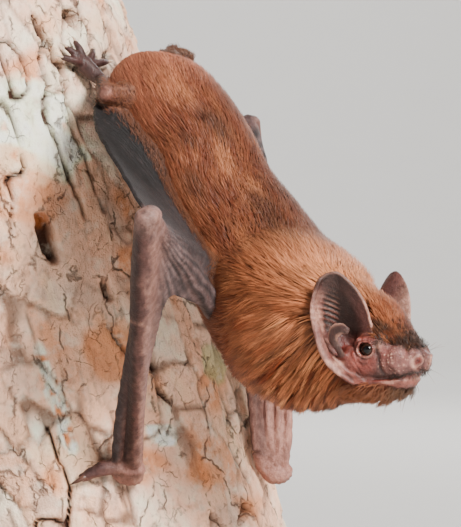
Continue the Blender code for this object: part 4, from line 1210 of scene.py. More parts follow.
horn = {
    "thumb": 0.62, "toe": 0.34, "bow": 0.22,  # half widths, and the bow as a share of the length
    "pale": (colour(196, 164, 140), colour(236, 220, 196)), "dark": (colour(96, 62, 50), colour(34, 20, 18)),
    "ring": colour(90, 60, 44),
}


# Claw: a tapering tube whose path bows out from the bark by a half sine and ends at the point.
def clawShell(start, tip, width):
    middle = perch["middle"]
    axis = np.array((middle[0] - perch["lean"] * (tip[2] - middle[2]), middle[1], tip[2]))
    out = unit((start + tip) / 2 - axis)
    length = np.linalg.norm(tip - start)
    share = np.linspace(0, 1, 9)[:, None]
    path = start * (1 - share) + tip * share + out * (horn["bow"] * length * np.sin(math.pi * share**0.9))
    share = share[:, 0]
    size = width * (1 - share**1.4 * 0.88)
    return tubeShell(limbGrid(path, size * 1.15, size * 0.8, flat=out, sides=12, rings=18))


# Horn: pale claws on the toes and dark ones on the thumbs, changing along each claw.
def clawFinish():
    finish = Finish("claw horn", Specular_IOR_Level=0.5)
    along = finish.attribute("along")
    rings = finish.noise(0.25, 3, 0.6)
    thumbs = finish.attribute("thumb")
    shade = finish.mix(thumbs, finish.mix(along, *horn["pale"]), finish.mix(along, *horn["dark"]))
    shade = finish.mix(finish.between(rings, 0.4, 0.7, 0.0, 0.3), shade, horn["ring"])
    return finish.ends(Base_Color=shade, Roughness=finish.rough(rings, 0.24, 0.4),
                       Normal=finish.relief(rings, 0.05, 0.6))


# All claws in one mesh, with the share along each claw and a mark for the thumbs.
def makeClaws():
    points, quads, fans, along, thumbs, count = [], [], [], [], [], 0
    for kind, start, tip in claws:
        shell, faces = clawShell(start, tip, horn[kind])
        points.append(shell)
        quads.append(faces[0] + count)
        fans.append(faces[1] + count)
        along.append(np.clip((shell - start) @ (tip - start) / ((tip - start) @ (tip - start)), 0, 1))
        thumbs.append(np.full(len(shell), float(kind == "thumb")))
        count += len(shell)
    mesh = meshFrom("claws", np.vstack(points), [np.vstack(quads), np.vstack(fans)])
    setAttribute(mesh, "along", np.concatenate(along))
    setAttribute(mesh, "thumb", np.concatenate(thumbs))
    return mesh


addPiece("claws", makeClaws(), clawFinish(), "foot_skin")
print("claws ready")

fur = {
    "perPiece": 190000,  # triangles that a piece of the coat may have
    "softness": 0.6,  # share of the skin's own direction in the tufts' shading
    "clump": (1.5, 0.55), "ruffClump": (1.25, 0.85), "patchClump": 0.9,  # lengths and widths of clumps
    "body": 88000, "ruff": 15000, "head": 17000,
    # count, length, width, lean, rise, darkening, corner of the unwrap
    "jaw": (4200, 1.5, 0.12, (0, 0, -1.0), 0.5, 0.1, 0.0),
    "fringe": (11000, 1.2, 0.09, (0, 0, 0), 0.2, 0.72, 0.1),
    "leg": (6000, 1.1, 0.10, (0, 0, 0), 0.12, 0.5, 0.15),
    "muzzle": (1500, 0.7, 0.06, (0, 0, 0), 0.6, 0.9, 0.2),
}


# Tufts: curved three-sided spikes closed at both ends, from stations that the caller has placed.
def tuftMesh(name, stations, width, outward, rootColours, tipColours, unwrap):
    count, rings = len(stations), stations.shape[1] - 1
    share = np.linspace(0, 1, rings + 1)
    tangent = np.gradient(stations, axis=1)
    wide = unit(np.cross(tangent, outward[:, None, :]))
    lift = unit(np.cross(wide, tangent))
    half = (width[:, None] / 2 * (1 - 0.55 * share[None, :-1] ** 2))[..., None]
    corners = np.stack((wide[:, :-1] * half, -wide[:, :-1] * half, lift[:, :-1] * half * 0.8), axis=2)
    sides = (stations[:, :-1, None, :] + corners).reshape(count, rings * 3, 3)
    points = np.concatenate((sides, stations[:, -1:]), axis=1)
    tip = rings * 3
    quad = np.array([(r + a, r + b, r + 3 + b, r + 3 + a)
                     for r in range(0, tip - 3, 3) for a, b in ((0, 1), (1, 2), (2, 0))])
    fan = np.array([(tip - 3, tip - 2, tip), (tip - 2, tip - 1, tip), (tip - 1, tip - 3, tip), (2, 1, 0)])
    if volume(points[0], quad) + volume(points[0], fan) < 0:
        quad, fan = quad[:, ::-1], fan[:, ::-1]
    base = np.arange(count)[:, None, None] * (tip + 1)
    quads, fans = (base + quad).reshape(-1, 4), (base + fan).reshape(-1, 3)
    mesh = meshFrom(name, points.reshape(-1, 3), [quads, fans])
    level = np.append(np.repeat(share[:-1], 3), 1.0)
    tint = rootColours[:, None] * (1 - level[None, :, None]) + tipColours[:, None] * level[None, :, None]
    setColours(mesh, "tint", tint.reshape(-1, 3))
    corner = np.concatenate((quads.ravel(), fans.ravel()))
    owner, spot = corner // (tip + 1), corner % (tip + 1)
    patch = np.stack((level[spot], np.where(spot == tip, 0.5, (spot % 3) / 2.0)), axis=-1)
    layer = mesh.uv_layers.new(name="OFBake")
    layer.data.foreach_set("uv", (unwrap[owner] + (patch - 0.5) * 0.003).astype(np.float32).ravel())
    own = rowsOf(mesh.vertex_normals, "vector").reshape(count, -1, 3)
    soft = unit(own * (1 - fur["softness"]) + outward[:, None, :] * fur["softness"])
    mesh.normals_split_custom_set_from_vertices(soft.reshape(-1, 3))
    return mesh


# Random roots on the body, as many per area as the weight asks, from a fine grid of cell areas.
def bodyRoots(count, weight):
    along = np.linspace(0.0, bodyLength, 301)
    around = np.linspace(0, 2 * math.pi, 121)
    surface = bodyPoint(along[:, None], around[None, :])
    area = (np.linalg.norm(np.diff(surface, axis=0)[:, :-1], axis=-1)
            * np.linalg.norm(np.diff(surface, axis=1)[:-1], axis=-1))
    lengths, angles = np.meshgrid((along[1:] + along[:-1]) / 2, (around[1:] + around[:-1]) / 2, indexing="ij")
    chance = (area * weight(lengths, angles)).ravel()
    pick = rng.choice(len(chance), size=count, p=chance / chance.sum())
    return (lengths.ravel()[pick] + rng.uniform(-0.5, 0.5, count) * (along[1] - along[0]),
            angles.ravel()[pick] + rng.uniform(-0.5, 0.5, count) * (around[1] - around[0]))


# Clumps: cells by length and turn whose middles are shifted by lattice values, and how far astray each root
# lies from its clump's middle.
def clumpsOf(left, angles, girth, ruff):
    long, wide = np.where(ruff > 0.4, np.array([fur["ruffClump"]]).T, np.array([fur["clump"]]).T)
    cell = np.stack((np.floor(left / long), np.floor(angles * girth / wide), left * 0), axis=-1)
    shift = np.stack((latticeValue(cell, 51), latticeValue(cell, 52)), axis=-1)
    middle = cell[:, :2] + 0.5 + 0.8 * shift - 0.4
    clumpLeft, clumpAngle = middle[:, 0] * long, middle[:, 1] * wide / girth
    astray = np.hypot((left - clumpLeft) / long, (angles - clumpAngle) * girth / wide)
    return cell, clumpLeft, clumpAngle, astray


# Colours at root and tip: the coat's colour there, toned by clump and darkened towards each clump's edge as
# painted shade in the gaps between clumps, darker at the root; on the ruff the tips are brightened as a
# painted highlight and the roots darkened as painted shade.
def tuftColours(root, lengths, angles, cell, gapShade, ruff):
    shade = coatColour(root, lengths, angles)
    own = 1 + (0.25 + 0.75 * ruff) * (latticeValue(cell, 56) - 0.5) + 0.06 * rng.normal(size=len(root))
    own = (gapShade * own)[:, None]
    bright = latticeValue(cell, 57)
    tips = blend(shade, coat["tip"], 0.18 * bright)
    # Ruff tips brightened: a painted highlight.
    tips = blend(tips, coat["ruffTip"], 0.85 * ruff * ease(0.0, 0.7, bright)) * (1 + 0.35 * ruff)[:, None]
    # Ruff roots darkened: painted shade.
    return shade * own * (0.8 - 0.38 * ruff)[:, None], tips * own


# Place on the unwrapped sheet: across by the share of the body's length, and up by a given share.
def unwrapAt(lengths, up):
    return np.stack((0.02 + 0.96 * lengths / bodyLength, up), axis=-1)


# Tufts on the body: each runs tailwards over the skin from its root, swerves a little, gathers towards its
# clump's tip and rises from the skin to the coat's outside.
def bodyTufts(count, weight, stationCount=3):
    lengths, angles = bodyRoots(count, weight)
    root = bodyPoint(lengths, angles)
    kept = (rng.random(count) > 1.3 * bareness(root)) & (earShare(root) > 0.98)
    lengths, angles, root = lengths[kept], angles[kept], root[kept]
    count = len(lengths)
    left = bodyLength - lengths
    depth = coatDepth(lengths, angles)
    girth = np.interp(left, (0, 8, 18, 60, bodyLength), (3.0, 7.0, 10.0, 9.0, 7.0))
    below = ease(0.85, 0.0, np.sin(angles))  # throat and sides, where the coat is long and stands in clumps
    ruff = bell(left, 14.5, 9.0) * (0.12 + 0.88 * below)
    size = np.interp(left, (0.0, 4.0, 7.0, 11.0, 17.0, 26.0, 32.0, 60.0, bodyLength),
                     (0.6, 0.8, 1.2, 1.9, 2.6, 3.2, 3.4, 3.0, 1.2))
    size = size * rng.uniform(0.65, 1.3, count) * (1 - 0.5 * ruff)
    cell, clumpLeft, clumpAngle, astray = clumpsOf(left, angles, girth, ruff)
    swerve = 0.35 * noise(root, 5.0, 53, 2) + 0.14 * rng.normal(size=count)
    swerve = swerve + 0.9 * ruff * (latticeValue(cell, 54) - 0.5)
    swerve = swerve - 1.5 * ruff * below * np.sign(np.cos(angles))
    gather = (0.14 + 0.75 * ruff) * rng.uniform(0.6, 1.1, count)
    # Darker towards each clump's edge: painted shade in the gaps between clumps.
    gapShade = 1 - ease(0.28, 0.65, astray) * (0.2 + 0.36 * ruff)
    lift = depth * rng.uniform(0.6, 1.1, count) + 0.08 + 1.2 * ruff * (latticeValue(cell, 55) - 0.2)
    stations = []
    for share in np.linspace(0, 1, stationCount):
        pull = gather * share**1.2
        along = (left + size * share) * (1 - pull) + (clumpLeft + size * share) * pull
        turned = angles * (1 - pull) + clumpAngle * pull + swerve * share * size / girth
        rise = lift * (0.35 - 0.25 * ruff + (0.65 + 0.25 * ruff) * share**0.8)
        rise = rise - depth - 0.10 - rumpSlack(lengths)
        sag = np.array((0.0, 0.0, 0.9)) * (ruff * below * share**2)[:, None]
        stations.append(bodyPoint(bodyLength - along, turned, rise) - sag)
    outward = unit(bodyPoint(lengths, angles, 1.0) - root)
    width = np.interp(left, (0.0, 5.0, 9.0, 15.0, 30.0), (0.10, 0.12, 0.14, 0.17, 0.155))
    width = width * rng.uniform(0.7, 1.3, count)
    roots, tips = tuftColours(root, lengths, angles, cell, gapShade, ruff)
    unwrap = unwrapAt(lengths, 0.02 + 0.6 * (angles % (2 * math.pi)) / (2 * math.pi))
    return np.stack(stations, axis=1), width, outward, roots, tips, unwrap


# Tufts rooted on the finished skin wherever the weights ask: straight from the root, leaning back along the
# body's line, lifted a little off the skin.
def skinTufts(weight, count, size, width, lean, rise, darken, corner):
    chance = weight[triangles].mean(axis=1) * areas
    pick = rng.choice(len(chance), size=count, p=chance / chance.sum())
    share = np.sort(rng.random((count, 2)), axis=1)
    share = np.stack((share[:, 0], share[:, 1] - share[:, 0], 1 - share[:, 1]), axis=1)[..., None]
    own = triangles[pick]
    root, outward = (spots[own] * share).sum(axis=1), unit((normals[own] * share).sum(axis=1))
    lengths, angles = nearestLength(root)
    line = np.gradient(traceRows[:, :3], axis=0)
    way = -unit(line[np.clip(np.searchsorted(traceLengths, lengths), 0, len(line) - 1)]) + np.asarray(lean)
    way = way + 0.28 * rng.normal(size=(count, 3))
    way = unit(way - (way * outward).sum(axis=1, keepdims=True) * outward)
    long = (size * rng.uniform(0.6, 1.3, count))[:, None]
    cell = np.floor(root / fur["patchClump"])
    pull = (cell + 0.5) * fur["patchClump"] - root
    pull = (pull - (pull * outward).sum(axis=1, keepdims=True) * outward) * 0.7
    high = (rise * (0.3 + 1.4 * latticeValue(cell, 59)))[:, None] * long
    stations = [root - outward * 0.08, root + way * long * 0.5 + outward * (0.10 + 0.7 * high) + pull * 0.4,
                root + way * long + outward * (0.05 + high) + pull]
    own = 1 + 0.12 * rng.normal(size=count) + 0.3 * (latticeValue(cell, 58) - 0.5)
    shade = coatColour(root, lengths, angles) * own[:, None]
    shade = blend(shade, coat["dusk"], darken)
    tips = blend(shade, coat["tip"], 0.3 * (1 - darken))
    unwrap = unwrapAt(lengths, 0.66 + corner + 0.08 * (angles / (2 * math.pi) + 0.5))
    return np.stack(stations, axis=1), np.full(count, width), outward, shade * 0.5, tips, unwrap


# Fur: each tuft's own colour, darkened in fine streaks, with a faint sheen.
def furFinish():
    finish = Finish("fur", Specular_IOR_Level=0.28, Sheen_Weight=0.06, Sheen_Roughness=0.4)
    strands = finish.noise(0.35, 3, 0.6)
    shade = finish.painted(strands, 0.35, (0.6, 0.5, 0.45))
    return finish.ends(Base_Color=shade, Roughness=finish.rough(strands, 0.42, 0.58),
                       Normal=finish.relief(strands, 0.03, 0.4))


furCoat = furFinish()


# Coat pieces: the tufts shared out by the order of their roots along the body, so no piece grows too big.
def addCoat(label, tufts):
    order = np.argsort(tufts[5][:, 0], kind="stable")
    triangleCount = len(order) * (6 * tufts[0].shape[1] - 8)
    for number, part in enumerate(np.array_split(order, math.ceil(triangleCount / fur["perPiece"]))):
        mesh = tuftMesh(label, *[values[part] for values in tufts])
        addPiece(f"{label}_{number + 1}", mesh, furCoat, "fur")


triangles = rowsOf(skinMesh.loop_triangles, "vertices", np.int32)
edges = spots[triangles[:, 1:]] - spots[triangles[:, :1]]
areas = np.linalg.norm(np.cross(edges[:, 0], edges[:, 1]), axis=1) / 2  # half the product of two edges
addCoat("fur_body", bodyTufts(fur["body"], lambda along, turn: 1 - ease(-14, -10, along - bodyLength)))
addCoat("fur_ruff", bodyTufts(fur["ruff"], lambda along, turn: bell(bodyLength - along, 15.0, 8.0)
                              * ease(0.3, -0.4, np.sin(turn)), 4))
addCoat("fur_head", bodyTufts(fur["head"], lambda along, turn: ease(-15, -11, along - bodyLength)))
patches = {
    "jaw": (bodyPart * (1 - bare) * (headBack < 11) * (headBack > 0.5)
            * (headUp < mouthHeight(headBack) - 0.3)),
    "fringe": ease(4.6, 0.6, reach["body"]) * (parts["membrane"] + parts["arm"] * (spots[:, 0] > 26)),
    "leg": parts["thigh"] + ease(2.0, 0.3, reach["body"]) * parts["leg"],
    "muzzle": bodyPart * (ease(1.8, 2.5, headUp) * (headBack < 5.5)
                          + 0.6 * bell(mouthAbove, 0.3, 0.4) * (headBack < 3.0)) * (headBack > -1),
}
for name, weight in patches.items():
    addCoat("fur_" + name, skinTufts(weight, *fur[name]))

whiskers = {
    "width": 0.07,
    # back, side, up of the root, then forward, aside, up of the way, then length
    "rows": [(0.4, 1.3, 1.6, 0.8, 0.3, 0.9, 2.6), (0.9, 1.8, 1.7, 0.9, 0.5, 0.6, 2.9),
             (1.6, 2.6, 1.6, 0.5, 0.6, 0.9, 2.2), (0.5, 2.4, -1.0, 0.9, 0.5, -0.2, 2.8),
             (0.9, 2.0, -1.2, 0.8, 0.3, -0.7, 2.4), (5.6, 3.0, 3.4, 0.4, 0.3, 1.0, 2.0),
             (3.4, 2.0, -4.8, -0.2, 0.2, -1.0, 3.0), (6.9, 3.0, -5.7, -0.3, 0.3, -1.0, 3.2),
             (2.4, 1.4, -4.3, 0.3, 0.3, -0.9, 2.4)],
}


# Whiskers: single long hairs from the lips, brows and chin, bending down by the square of the length.
def whiskerTufts():
    table = np.array(whiskers["rows"])
    table = np.vstack((table, table * (1, -1, 1, 1, -1, 1, 1)))
    root = headPoint(table[:, 0], table[:, 1], table[:, 2])
    way = unit(head["forward"] * table[:, 3:4] + head["right"] * table[:, 4:5] + head["up"] * table[:, 5:6])
    long = table[:, 6:7]
    stations = np.stack([root + way * long * share - head["up"] * 0.16 * long * share**2
                         for share in np.linspace(0, 1, 7)], axis=1)
    dark = np.tile(coat["dusk"], (len(table), 1))
    tips = blend(dark, coat["tip"], 0.6)
    unwrap = np.stack((np.linspace(0.05, 0.95, len(table)), np.full(len(table), 0.97)), axis=-1)
    return stations, np.full(len(table), whiskers["width"]), head["up"] + way * 0.01, dark, tips, unwrap


addCoat("whiskers", whiskerTufts())
print("coat ready")

bark = {
    "plate": (6.0, 6.0, 11.0), "fissure": (9.0, 9.0, 26.0),  # sizes of plates and furrows in x, y and z
    "fissureDepth": 1.9, "flake": 0.42, "holeDepth": 3.2, "crust": 0.35, "highest": 0.75, "setIn": 0.35,
    "warp": 1.6, "wall": 7.0, "rows": 220,
    "columns": ((-12.0, 192.0, 260), (192.0, 348.0, 110)),  # finer over the side with the bat
    "tan": colour(244, 196, 160), "pale": colour(255, 242, 222), "brown": colour(192, 128, 92),
    "crack": colour(60, 36, 26), "orange": colour(206, 122, 66), "lichen": colour(244, 248, 216),
    "green": colour(166, 172, 118), "rose": colour(232, 176, 148), "grey": colour(190, 160, 142),
    # angle, height, half widths round and up, and kind
    "marks": [(68.0, 102.5, 16.0, 8.5, "lichen"), (55.0, 55.3, 6.5, 1.9, "oval"),
              (83.0, 61.0, 3.0, 9.5, "sliver"), (43.0, 120.7, 3.2, 1.7, "hole"),
              (72.3, 85.7, 2.6, 4.6, "hole"), (60.0, 78.0, 1.6, 2.2, "hole"),
              (78.0, 94.0, 14.0, 7.0, "orange"), (64.0, 68.0, 10.0, 6.0, "orange"),
              (40.0, 50.0, 12.0, 5.0, "orange"), (205.0, 90.0, 18.0, 9.0, "lichen"),
              (300.0, 60.0, 14.0, 7.0, "lichen"), (150.0, 62.0, 3.0, 3.0, "hole"),
              (250.0, 108.0, 12.0, 9.0, "orange"), (330.0, 100.0, 3.0, 2.0, "hole"),
              (160.0, 112.0, 12.0, 8.0, "orange"), (120.0, 92.0, 2.8, 2.2, "hole"),
              (26.0, 66.0, 8.0, 3.5, "green"), (20.0, 82.0, 9.0, 8.0, "green")],
}


# Share of a mark at each place: a rounded patch in angle and height whose edge is shaken by noise.
def markShare(angle, height, points, middle, level, wide, tall):
    turn = (angle - middle + 180.0) % 360.0 - 180.0
    reachOut = np.hypot(turn / wide, (height - level) / tall) + 0.32 * noise(points, 2.6, 71, 2)
    return 1 - ease(0.72, 1.0, reachOut)


# Bark: cells of two sizes give plates between thin cracks and deep furrows; marks sink or build it up; the
# cracks, furrows, holes and the feet of the flakes' steps are painted dark as painted shade.
def barkSurface(angle, height):
    turn = np.radians(angle)
    points = np.stack((perch["radius"] * np.cos(turn), perch["radius"] * np.sin(turn), height), axis=-1)
    warped = points + bark["warp"] * np.stack([noise(points, 6.0, seed, 2) for seed in (61, 62, 63)], axis=-1)
    first, second, owner = cells(warped, bark["plate"], 64)
    patchy = ease(-0.35, 0.35, noise(points, 11.0, 75, 2))
    crack = (1 - ease(0.02, 0.10, second - first)) * patchy
    wander = np.abs(noise(warped / np.array(bark["fissure"]) * bark["fissure"][0], bark["fissure"][0], 66, 2))
    furrow = (1 - ease(0.008, 0.035, wander)) * ease(-0.2, 0.3, noise(points, 16.0, 76))
    fine = noise(points * (1, 1, 0.5), 0.9, 67, 3)
    layers = 3.2 * noise(warped * (1, 1, 0.5), 7.5, 68, 3) + 1.6 * noise(warped * (1, 1, 0.4), 3.6, 78, 2)
    flake = np.floor(layers)
    lip = ease(0.0, 0.14, layers - flake)
    rise = (owner - 0.5) * 0.5 * patchy - crack * 0.5 - furrow * bark["fissureDepth"]
    rise = rise + 0.16 * fine + bark["flake"] * (flake + lip) + 0.25
    ownGrey = latticeValue(np.stack((flake, flake * 0, flake * 0), axis=-1), 79)
    paint = layered(
        bark["tan"],
        (bark["brown"], ease(0.45, 0.95, owner) * 0.4 + 0.25 * fine),
        (bark["grey"], ease(0.6, 0.9, ownGrey) * 0.45),
        # Dark at the foot of each flake's step: painted shade.
        (bark["crack"], 0.55 * bell(layers - flake, 0.03, 0.07)),
        (bark["pale"], ease(0.5, 0.1, owner) * 0.5 + 0.45 * noise(points, 3.0, 69, 2)),
        (bark["rose"], 0.35 + 0.5 * noise(points, 9.0, 70)),
        (bark["grey"], ease(0.2, 0.6, noise(points, 6.0, 77, 2)) * 0.6),
        (bark["orange"], 0.7 * ease(0.25, 0.6, noise(points, 7.0, 72, 2))))
    for *place, kind in bark["marks"]:
        share = markShare(angle, height, points, *place)
        if kind == "hole":
            rise = rise * (1 - share) - bark["holeDepth"] * share
            # Holes painted nearly black: painted shade in the hollow.
            paint = blend(paint, bark["crack"], share * 0.95)
        elif kind == "lichen":
            crust = share * ease(-0.1, 0.2, 0.5 + noise(points, 1.7, 73, 2))
            rise = rise + bark["crust"] * crust
            paint = blend(paint, bark["lichen"], crust * 0.95)
        elif kind == "oval":
            rise = rise * (1 - share) + 0.5 * share
            paint = blend(paint, bark["pale"], share)
        elif kind == "sliver":
            rise = rise + share * 0.5 * np.sin(points[..., 0] * 5)
            streaked = blend(bark["pale"], bark["orange"], ease(0.0, 0.5, noise(points, 0.9, 74)))
            paint = blend(paint, streaked, share * 0.9)
        else:
            paint = blend(paint, bark[kind], share * 0.6)
    # Cracks and furrows painted dark: painted shade in the hollows.
    dark = np.clip(crack * 0.75 + furrow * 1.1, 0, 1)
    paint = blend(paint * 1.25, bark["crack"], dark) * (1 + 0.18 * fine)[..., None]
    return np.minimum(rise, bark["highest"]) - bark["setIn"], paint


# Bark's mesh: a ring of walls, the outer one carved and painted, the inner one plain and set in by the wall.
def makeBark():
    angle = np.concatenate([np.linspace(*columns, endpoint=False) for columns in bark["columns"]])
    height = np.linspace(perch["bottom"], perch["top"], bark["rows"])
    angles, heights = np.meshgrid(angle, height)
    rise, paint = barkSurface(angles, heights)
    edge = np.minimum(heights - perch["bottom"], perch["top"] - heights)
    rise = rise - 0.7 * (1 - ease(0.0, 1.2, edge))
    outer = barkPoint(angles, heights, rise)
    inner = [barkPoint(angles[row], heights[row], -bark["wall"]) for row in (-1, 0)]
    grid = np.concatenate((outer, inner))
    rows, columns = grid.shape[:2]
    quads = ringFaces(rows + 1, columns) % (rows * columns)
    if volume(grid.reshape(-1, 3), quads) < 0:
        quads = quads[:, ::-1]
    mesh = meshFrom("bark", grid.reshape(-1, 3), [quads])
    setColours(mesh, "tint", np.concatenate((paint, paint[-1:] * 0.6, paint[:1] * 0.6)).reshape(-1, 3))
    return mesh


# Bark's look: painted tint with fibres, blotches and crumbs, and two nets of fine cracks that bump it and are
# painted dark as painted shade.
def barkFinish():
    finish = Finish("bark", Specular_IOR_Level=0.25)
    fibres = finish.noise(0.8, 6, 0.65, (1.0, 1.0, 0.5))
    crumbs = finish.noise(0.28, 4, 0.6)
    blotches = finish.noise(3.2, 5, 0.6)
    drift = finish.node("ShaderNodeTexNoise", {}, {"Vector": finish.place, "Scale": 1.0 / (3.0 * mm),
                                                  "Detail": 4.0}, output=1)
    shaken = finish.node("ShaderNodeVectorMath", {"operation": "MULTIPLY_ADD"},
                         {0: drift, 1: (4 * mm,) * 3, 2: finish.place})
    lines = []
    for size, width, squash in ((8.5, 0.035, 0.5), (3.4, 0.03, 0.7)):
        flat = finish.node("ShaderNodeMapping", {}, {"Vector": shaken, "Scale": (1.0, 1.0, squash)})
        edge = finish.cells(size, "DISTANCE_TO_EDGE", flat)
        lines.append(finish.between(edge, 0.0, width, 1.0, 0.0))
    cracks = lines[0] * finish.between(blotches, 0.44, 0.58) * 0.8
    cracks = cracks + lines[1] * finish.between(blotches, 0.5, 0.4) * 0.45
    tint = finish.painted(fibres, 0.35, (0.5, 0.36, 0.30), 0.36, 0.50)
    tint = finish.mix(finish.between(blotches, 0.5, 0.68, 0.0, 0.35), tint, bark["pale"])
    tint = finish.mix(finish.between(crumbs, 0.66, 0.78, 0.0, 0.25), tint, bark["crack"] * 2)
    # Fine cracks painted dark: painted shade.
    tint = finish.mix(cracks * 0.9, tint, bark["crack"])
    bump = finish.relief(fibres * 0.6 + crumbs * 0.35 + blotches * 0.5 - cracks * 0.9, 0.6, 0.9)
    return finish.ends(Base_Color=tint, Roughness=finish.rough(crumbs, 0.72, 0.92), Normal=bump)


addPiece("bark", makeBark(), barkFinish(), "bark", "perch_log")


sawn = {
    "light": colour(214, 178, 132), "dark": colour(172, 122, 78), "ring": 2.4,
    "setIn": 5.0, "sunk": 0.15, "chatter": 0.12,  # inside the bark's outline, under its cut ends, saw marks
}


# Sawn wood inside the bark: rings from the middle out and down the sides, closed at both middles.
def makeHeartwood():
    middle = perch["middle"]
    turn = np.linspace(0, 360.0, 120, endpoint=False)
    shares = np.linspace(0.04, 1.0, 14)
    radius = perch["radius"] - sawn["setIn"]
    sides = np.linspace(perch["bottom"] + 20.0, perch["top"] - 20.0, 3)
    steps = [(share, perch["bottom"]) for share in shares] + [(1.0, height) for height in sides]
    steps += [(share, perch["top"]) for share in shares[::-1]]
    rings = []
    for share, height in steps:
        chatter = sawn["chatter"] * np.sin(np.radians(turn) * 3 + share * 40) if share < 1 else 0.0
        level = height + (sawn["sunk"] + chatter) * (1 if height < middle[2] else -1) * (share < 1)
        rings.append(barkPoint(turn, np.full(len(turn), level), share * radius - perch["radius"]))
    points, faces = tubeShell(np.array(rings))
    mesh = meshFrom("heartwood", points, faces)
    aside = points[:, 0] - middle[0] + perch["lean"] * (points[:, 2] - middle[2])
    setAttribute(mesh, "across", np.hypot(aside, points[:, 1] - middle[1]))
    return mesh


# Wood: light and dark grain, as rings by the sine of the distance from the trunk's axis or as wavy bands.
def woodFinish(name, light, dark, ringSize, ringed=False):
    finish = Finish(name, Specular_IOR_Level=0.35)
    wobble = finish.noise(14.0, 3, 0.5)
    rays = finish.noise(1.2, 5, 0.6)
    if ringed:
        wave = finish.attribute("across") * (2 * math.pi / ringSize) + wobble * 5.0
        rings = wave.maths("SINE", wave, 0.0) * 0.5 + 0.5
    else:
        rings = finish.node("ShaderNodeTexWave", {"wave_type": "BANDS"},
                            {"Vector": finish.place, "Scale": 1.0 / (ringSize * mm), "Distortion": 4.0,
                             "Detail": 3.0, "Detail Scale": 0.6})
    shade = finish.mix(rings * finish.between(wobble, 0.3, 0.7, 0.3, 0.9), light, dark)
    shade = finish.mix(finish.between(rays, 0.4, 0.7, 0.0, 0.5), shade, dark * 0.7)
    shade = finish.mix(finish.between(wobble, 0.45, 0.7, 0.0, 0.35), shade, light * 1.05)
    return finish.ends(Base_Color=shade, Roughness=finish.rough(rays, 0.5, 0.72),
                       Normal=finish.relief(rings * 0.15 + rays, 0.06, 0.5))


sawnWood = woodFinish("sawn wood", sawn["light"], sawn["dark"], sawn["ring"], True)
addPiece("sawn_wood", makeHeartwood(), sawnWood, "bark", "perch_log")
print("perch ready")

stand = {
    "radius": 65.0, "height": 8.0, "rodRadius": 3.0,
    "wood": (colour(104, 66, 42), colour(70, 43, 28), 8.0),  # light, dark and width of the grain
}


# Lathe: a profile of radius and height turned round an axis, closed at both ends.
def lathe(profile, centre, sides=128):
    turn = turns(sides)
    radius, height = np.array(profile).T
    grid = np.stack(np.broadcast_arrays(centre[0] + radius[:, None] * np.cos(turn),
                                        centre[1] + radius[:, None] * np.sin(turn), height[:, None]), axis=-1)
    return tubeShell(grid)


# Middle of a box seen from above: half the sum of its two corners.
def middleOf(box):
    return [(box[0][axis] + box[1][axis]) / 2 / mm for axis in (0, 1)]


# Round base: a flat disc with a rounded foot and a top edge turned by a quarter circle.
def makeBase():
    r, h = stand["radius"], stand["height"]
    bend = np.linspace(0, math.pi / 2, 8)
    profile = [(0.5, 0.0), (r * 0.5, 0.0), (r - 1.6, 0.0), (r - 0.8, 0.3), (r - 0.2, 1.0), (r, 1.8),
               (r, h * 0.45)]
    profile += [(r - 2.6 * (1 - math.cos(b)), h * 0.45 + (h * 0.55 - 0.5) * math.sin(b)) for b in bend]
    profile += [(r - 3.4, h - 0.5), (r - 3.9, h), (r * 0.7, h), (r * 0.35, h), (0.5, h)]
    return meshFrom("base", *lathe(profile, middleOf(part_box("stand_base"))))


# Rod: a turned profile with a foot ring and a collar, sunk a little into the base and the trunk.
def makeRod(name):
    r, low, high = stand["rodRadius"], stand["height"] - 1.0, perch["bottom"] + 1.0
    profile = [(0.3, low), (r + 1.6, low), (r + 1.6, low + 1.9), (r + 1.3, low + 2.3), (r + 0.2, low + 2.5),
               (r, low + 2.9), (r, low + 8), (r, high - 8), (r, high - 2.4), (r + 0.5, high - 2.2),
               (r + 0.8, high - 1.8), (r + 0.8, high), (0.3, high)]
    return meshFrom(name + "_turned", *lathe(profile, middleOf(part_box(name)), 48))


# Steel: grey, brushed in long fine streaks.
def steelFinish():
    finish = Finish("brushed steel", Metallic=1.0, Specular_IOR_Level=0.5)
    brushing = finish.noise(0.4, 4, 0.6, (1.0, 1.0, 8.0))
    shade = finish.mix(brushing, (0.42, 0.41, 0.40), (0.62, 0.61, 0.60))
    return finish.ends(Base_Color=shade, Roughness=finish.rough(brushing, 0.26, 0.42),
                       Normal=finish.relief(brushing, 0.03, 0.5))


addPiece("stand_foot", makeBase(), woodFinish("stand wood", *stand["wood"]), "stand_wood", "stand_base")
steel = steelFinish()
for node in ("stand_rod_left", "stand_rod_right"):
    addPiece(node + "_turned", makeRod(node), steel, "steel", node)
print("stand ready")

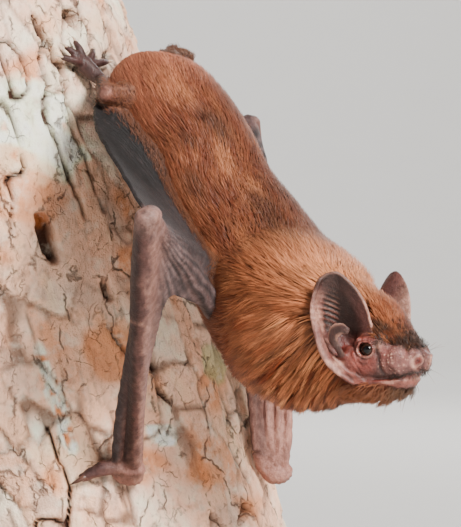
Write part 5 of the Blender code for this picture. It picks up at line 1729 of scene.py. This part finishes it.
studio = {
    "floor": colour(240, 237, 232), "air": 0.30, "airTint": (0.93, 0.95, 1.0, 1.0),
    "near": 7.0, "far": 1.6, "aside": 6.0, "bend": 0.8, "top": 3.2,  # the floor's reach in metres
    # metres: place, target and size of each lamp, then its power and tint
    "lamps": {
        "key": ((0.42, -0.62, 0.52), (0.03, -0.02, 0.08), 0.24, 17.0, (1.0, 0.97, 0.93)),
        "fill": ((-0.75, -0.55, 0.35), (0.0, 0.0, 0.08), 0.9, 1.0, (1.0, 1.0, 1.0)),
        "rim": ((0.35, 0.75, 0.55), (0.03, 0.0, 0.09), 0.5, 4.0, (1.0, 1.0, 1.0)),
        "backdrop": ((0.0, 1.0, 1.2), (0.0, 2.4, 0.4), 1.2, 20.0, (1.0, 1.0, 1.0)),
    },
    "lens": 163.95, "sensor": 36.0, "camera": (0.034, -0.394, 0.082),
}


# Floor and backdrop: a flat sheet that curves up behind through a quarter circle.
def makeFloor():
    bend = np.linspace(0, math.pi / 2, 16)
    far, radius = studio["far"], studio["bend"]
    y = np.concatenate(([-studio["near"]], far + radius * np.sin(bend), [far + radius]))
    z = np.concatenate(([0.0], radius * (1 - np.cos(bend)), [studio["top"]]))
    x = np.linspace(-studio["aside"], studio["aside"], 13)
    grid = np.stack(np.broadcast_arrays(x, y[:, None], z[:, None]), axis=-1)
    return meshFrom("floor", grid.reshape(-1, 3) / mm, [ringFaces(len(y), len(x), False)])


# Floor's look: pale, faintly clouded and dull.
def floorFinish():
    finish = Finish("pale floor", Specular_IOR_Level=0.3)
    cloud = finish.noise(40.0, 3, 0.5)
    shade = finish.mix(cloud, studio["floor"] * 0.96, studio["floor"])
    return finish.ends(Base_Color=shade, Roughness=finish.rough(cloud, 0.7, 0.8))


floor = addObject("floor", makeFloor())
floor.data.materials.append(floorFinish())


# Soft lamp: a square area light turned towards a target.
def addLamp(name, place, target, size, energy, tint):
    lamp = bpy.data.lights.new(name, "AREA")
    lamp.energy, lamp.size, lamp.color = energy, size, tint
    holder = addObject(name, lamp)
    holder.location = place
    way = [t - p for t, p in zip(target, place)]
    flat = math.hypot(way[0], way[1])
    holder.rotation_euler = (math.atan2(flat, -way[2]), 0.0, math.atan2(-way[0], way[1]))


for name, settings in studio["lamps"].items():
    addLamp(name, *settings)

world = bpy.data.worlds.new("studio air")
world.use_nodes = True
air = world.node_tree.nodes["Background"]
air.inputs["Color"].default_value = studio["airTint"]
air.inputs["Strength"].default_value = studio["air"]
bpy.context.scene.world = world

lens = bpy.data.cameras.new("camera")
lens.lens, lens.sensor_width = studio["lens"], studio["sensor"]
camera = addObject("camera", lens)
camera.location = studio["camera"]
camera.rotation_euler = (math.pi / 2, 0.0, 0.0)
bpy.context.scene.camera = camera
print("stage ready")
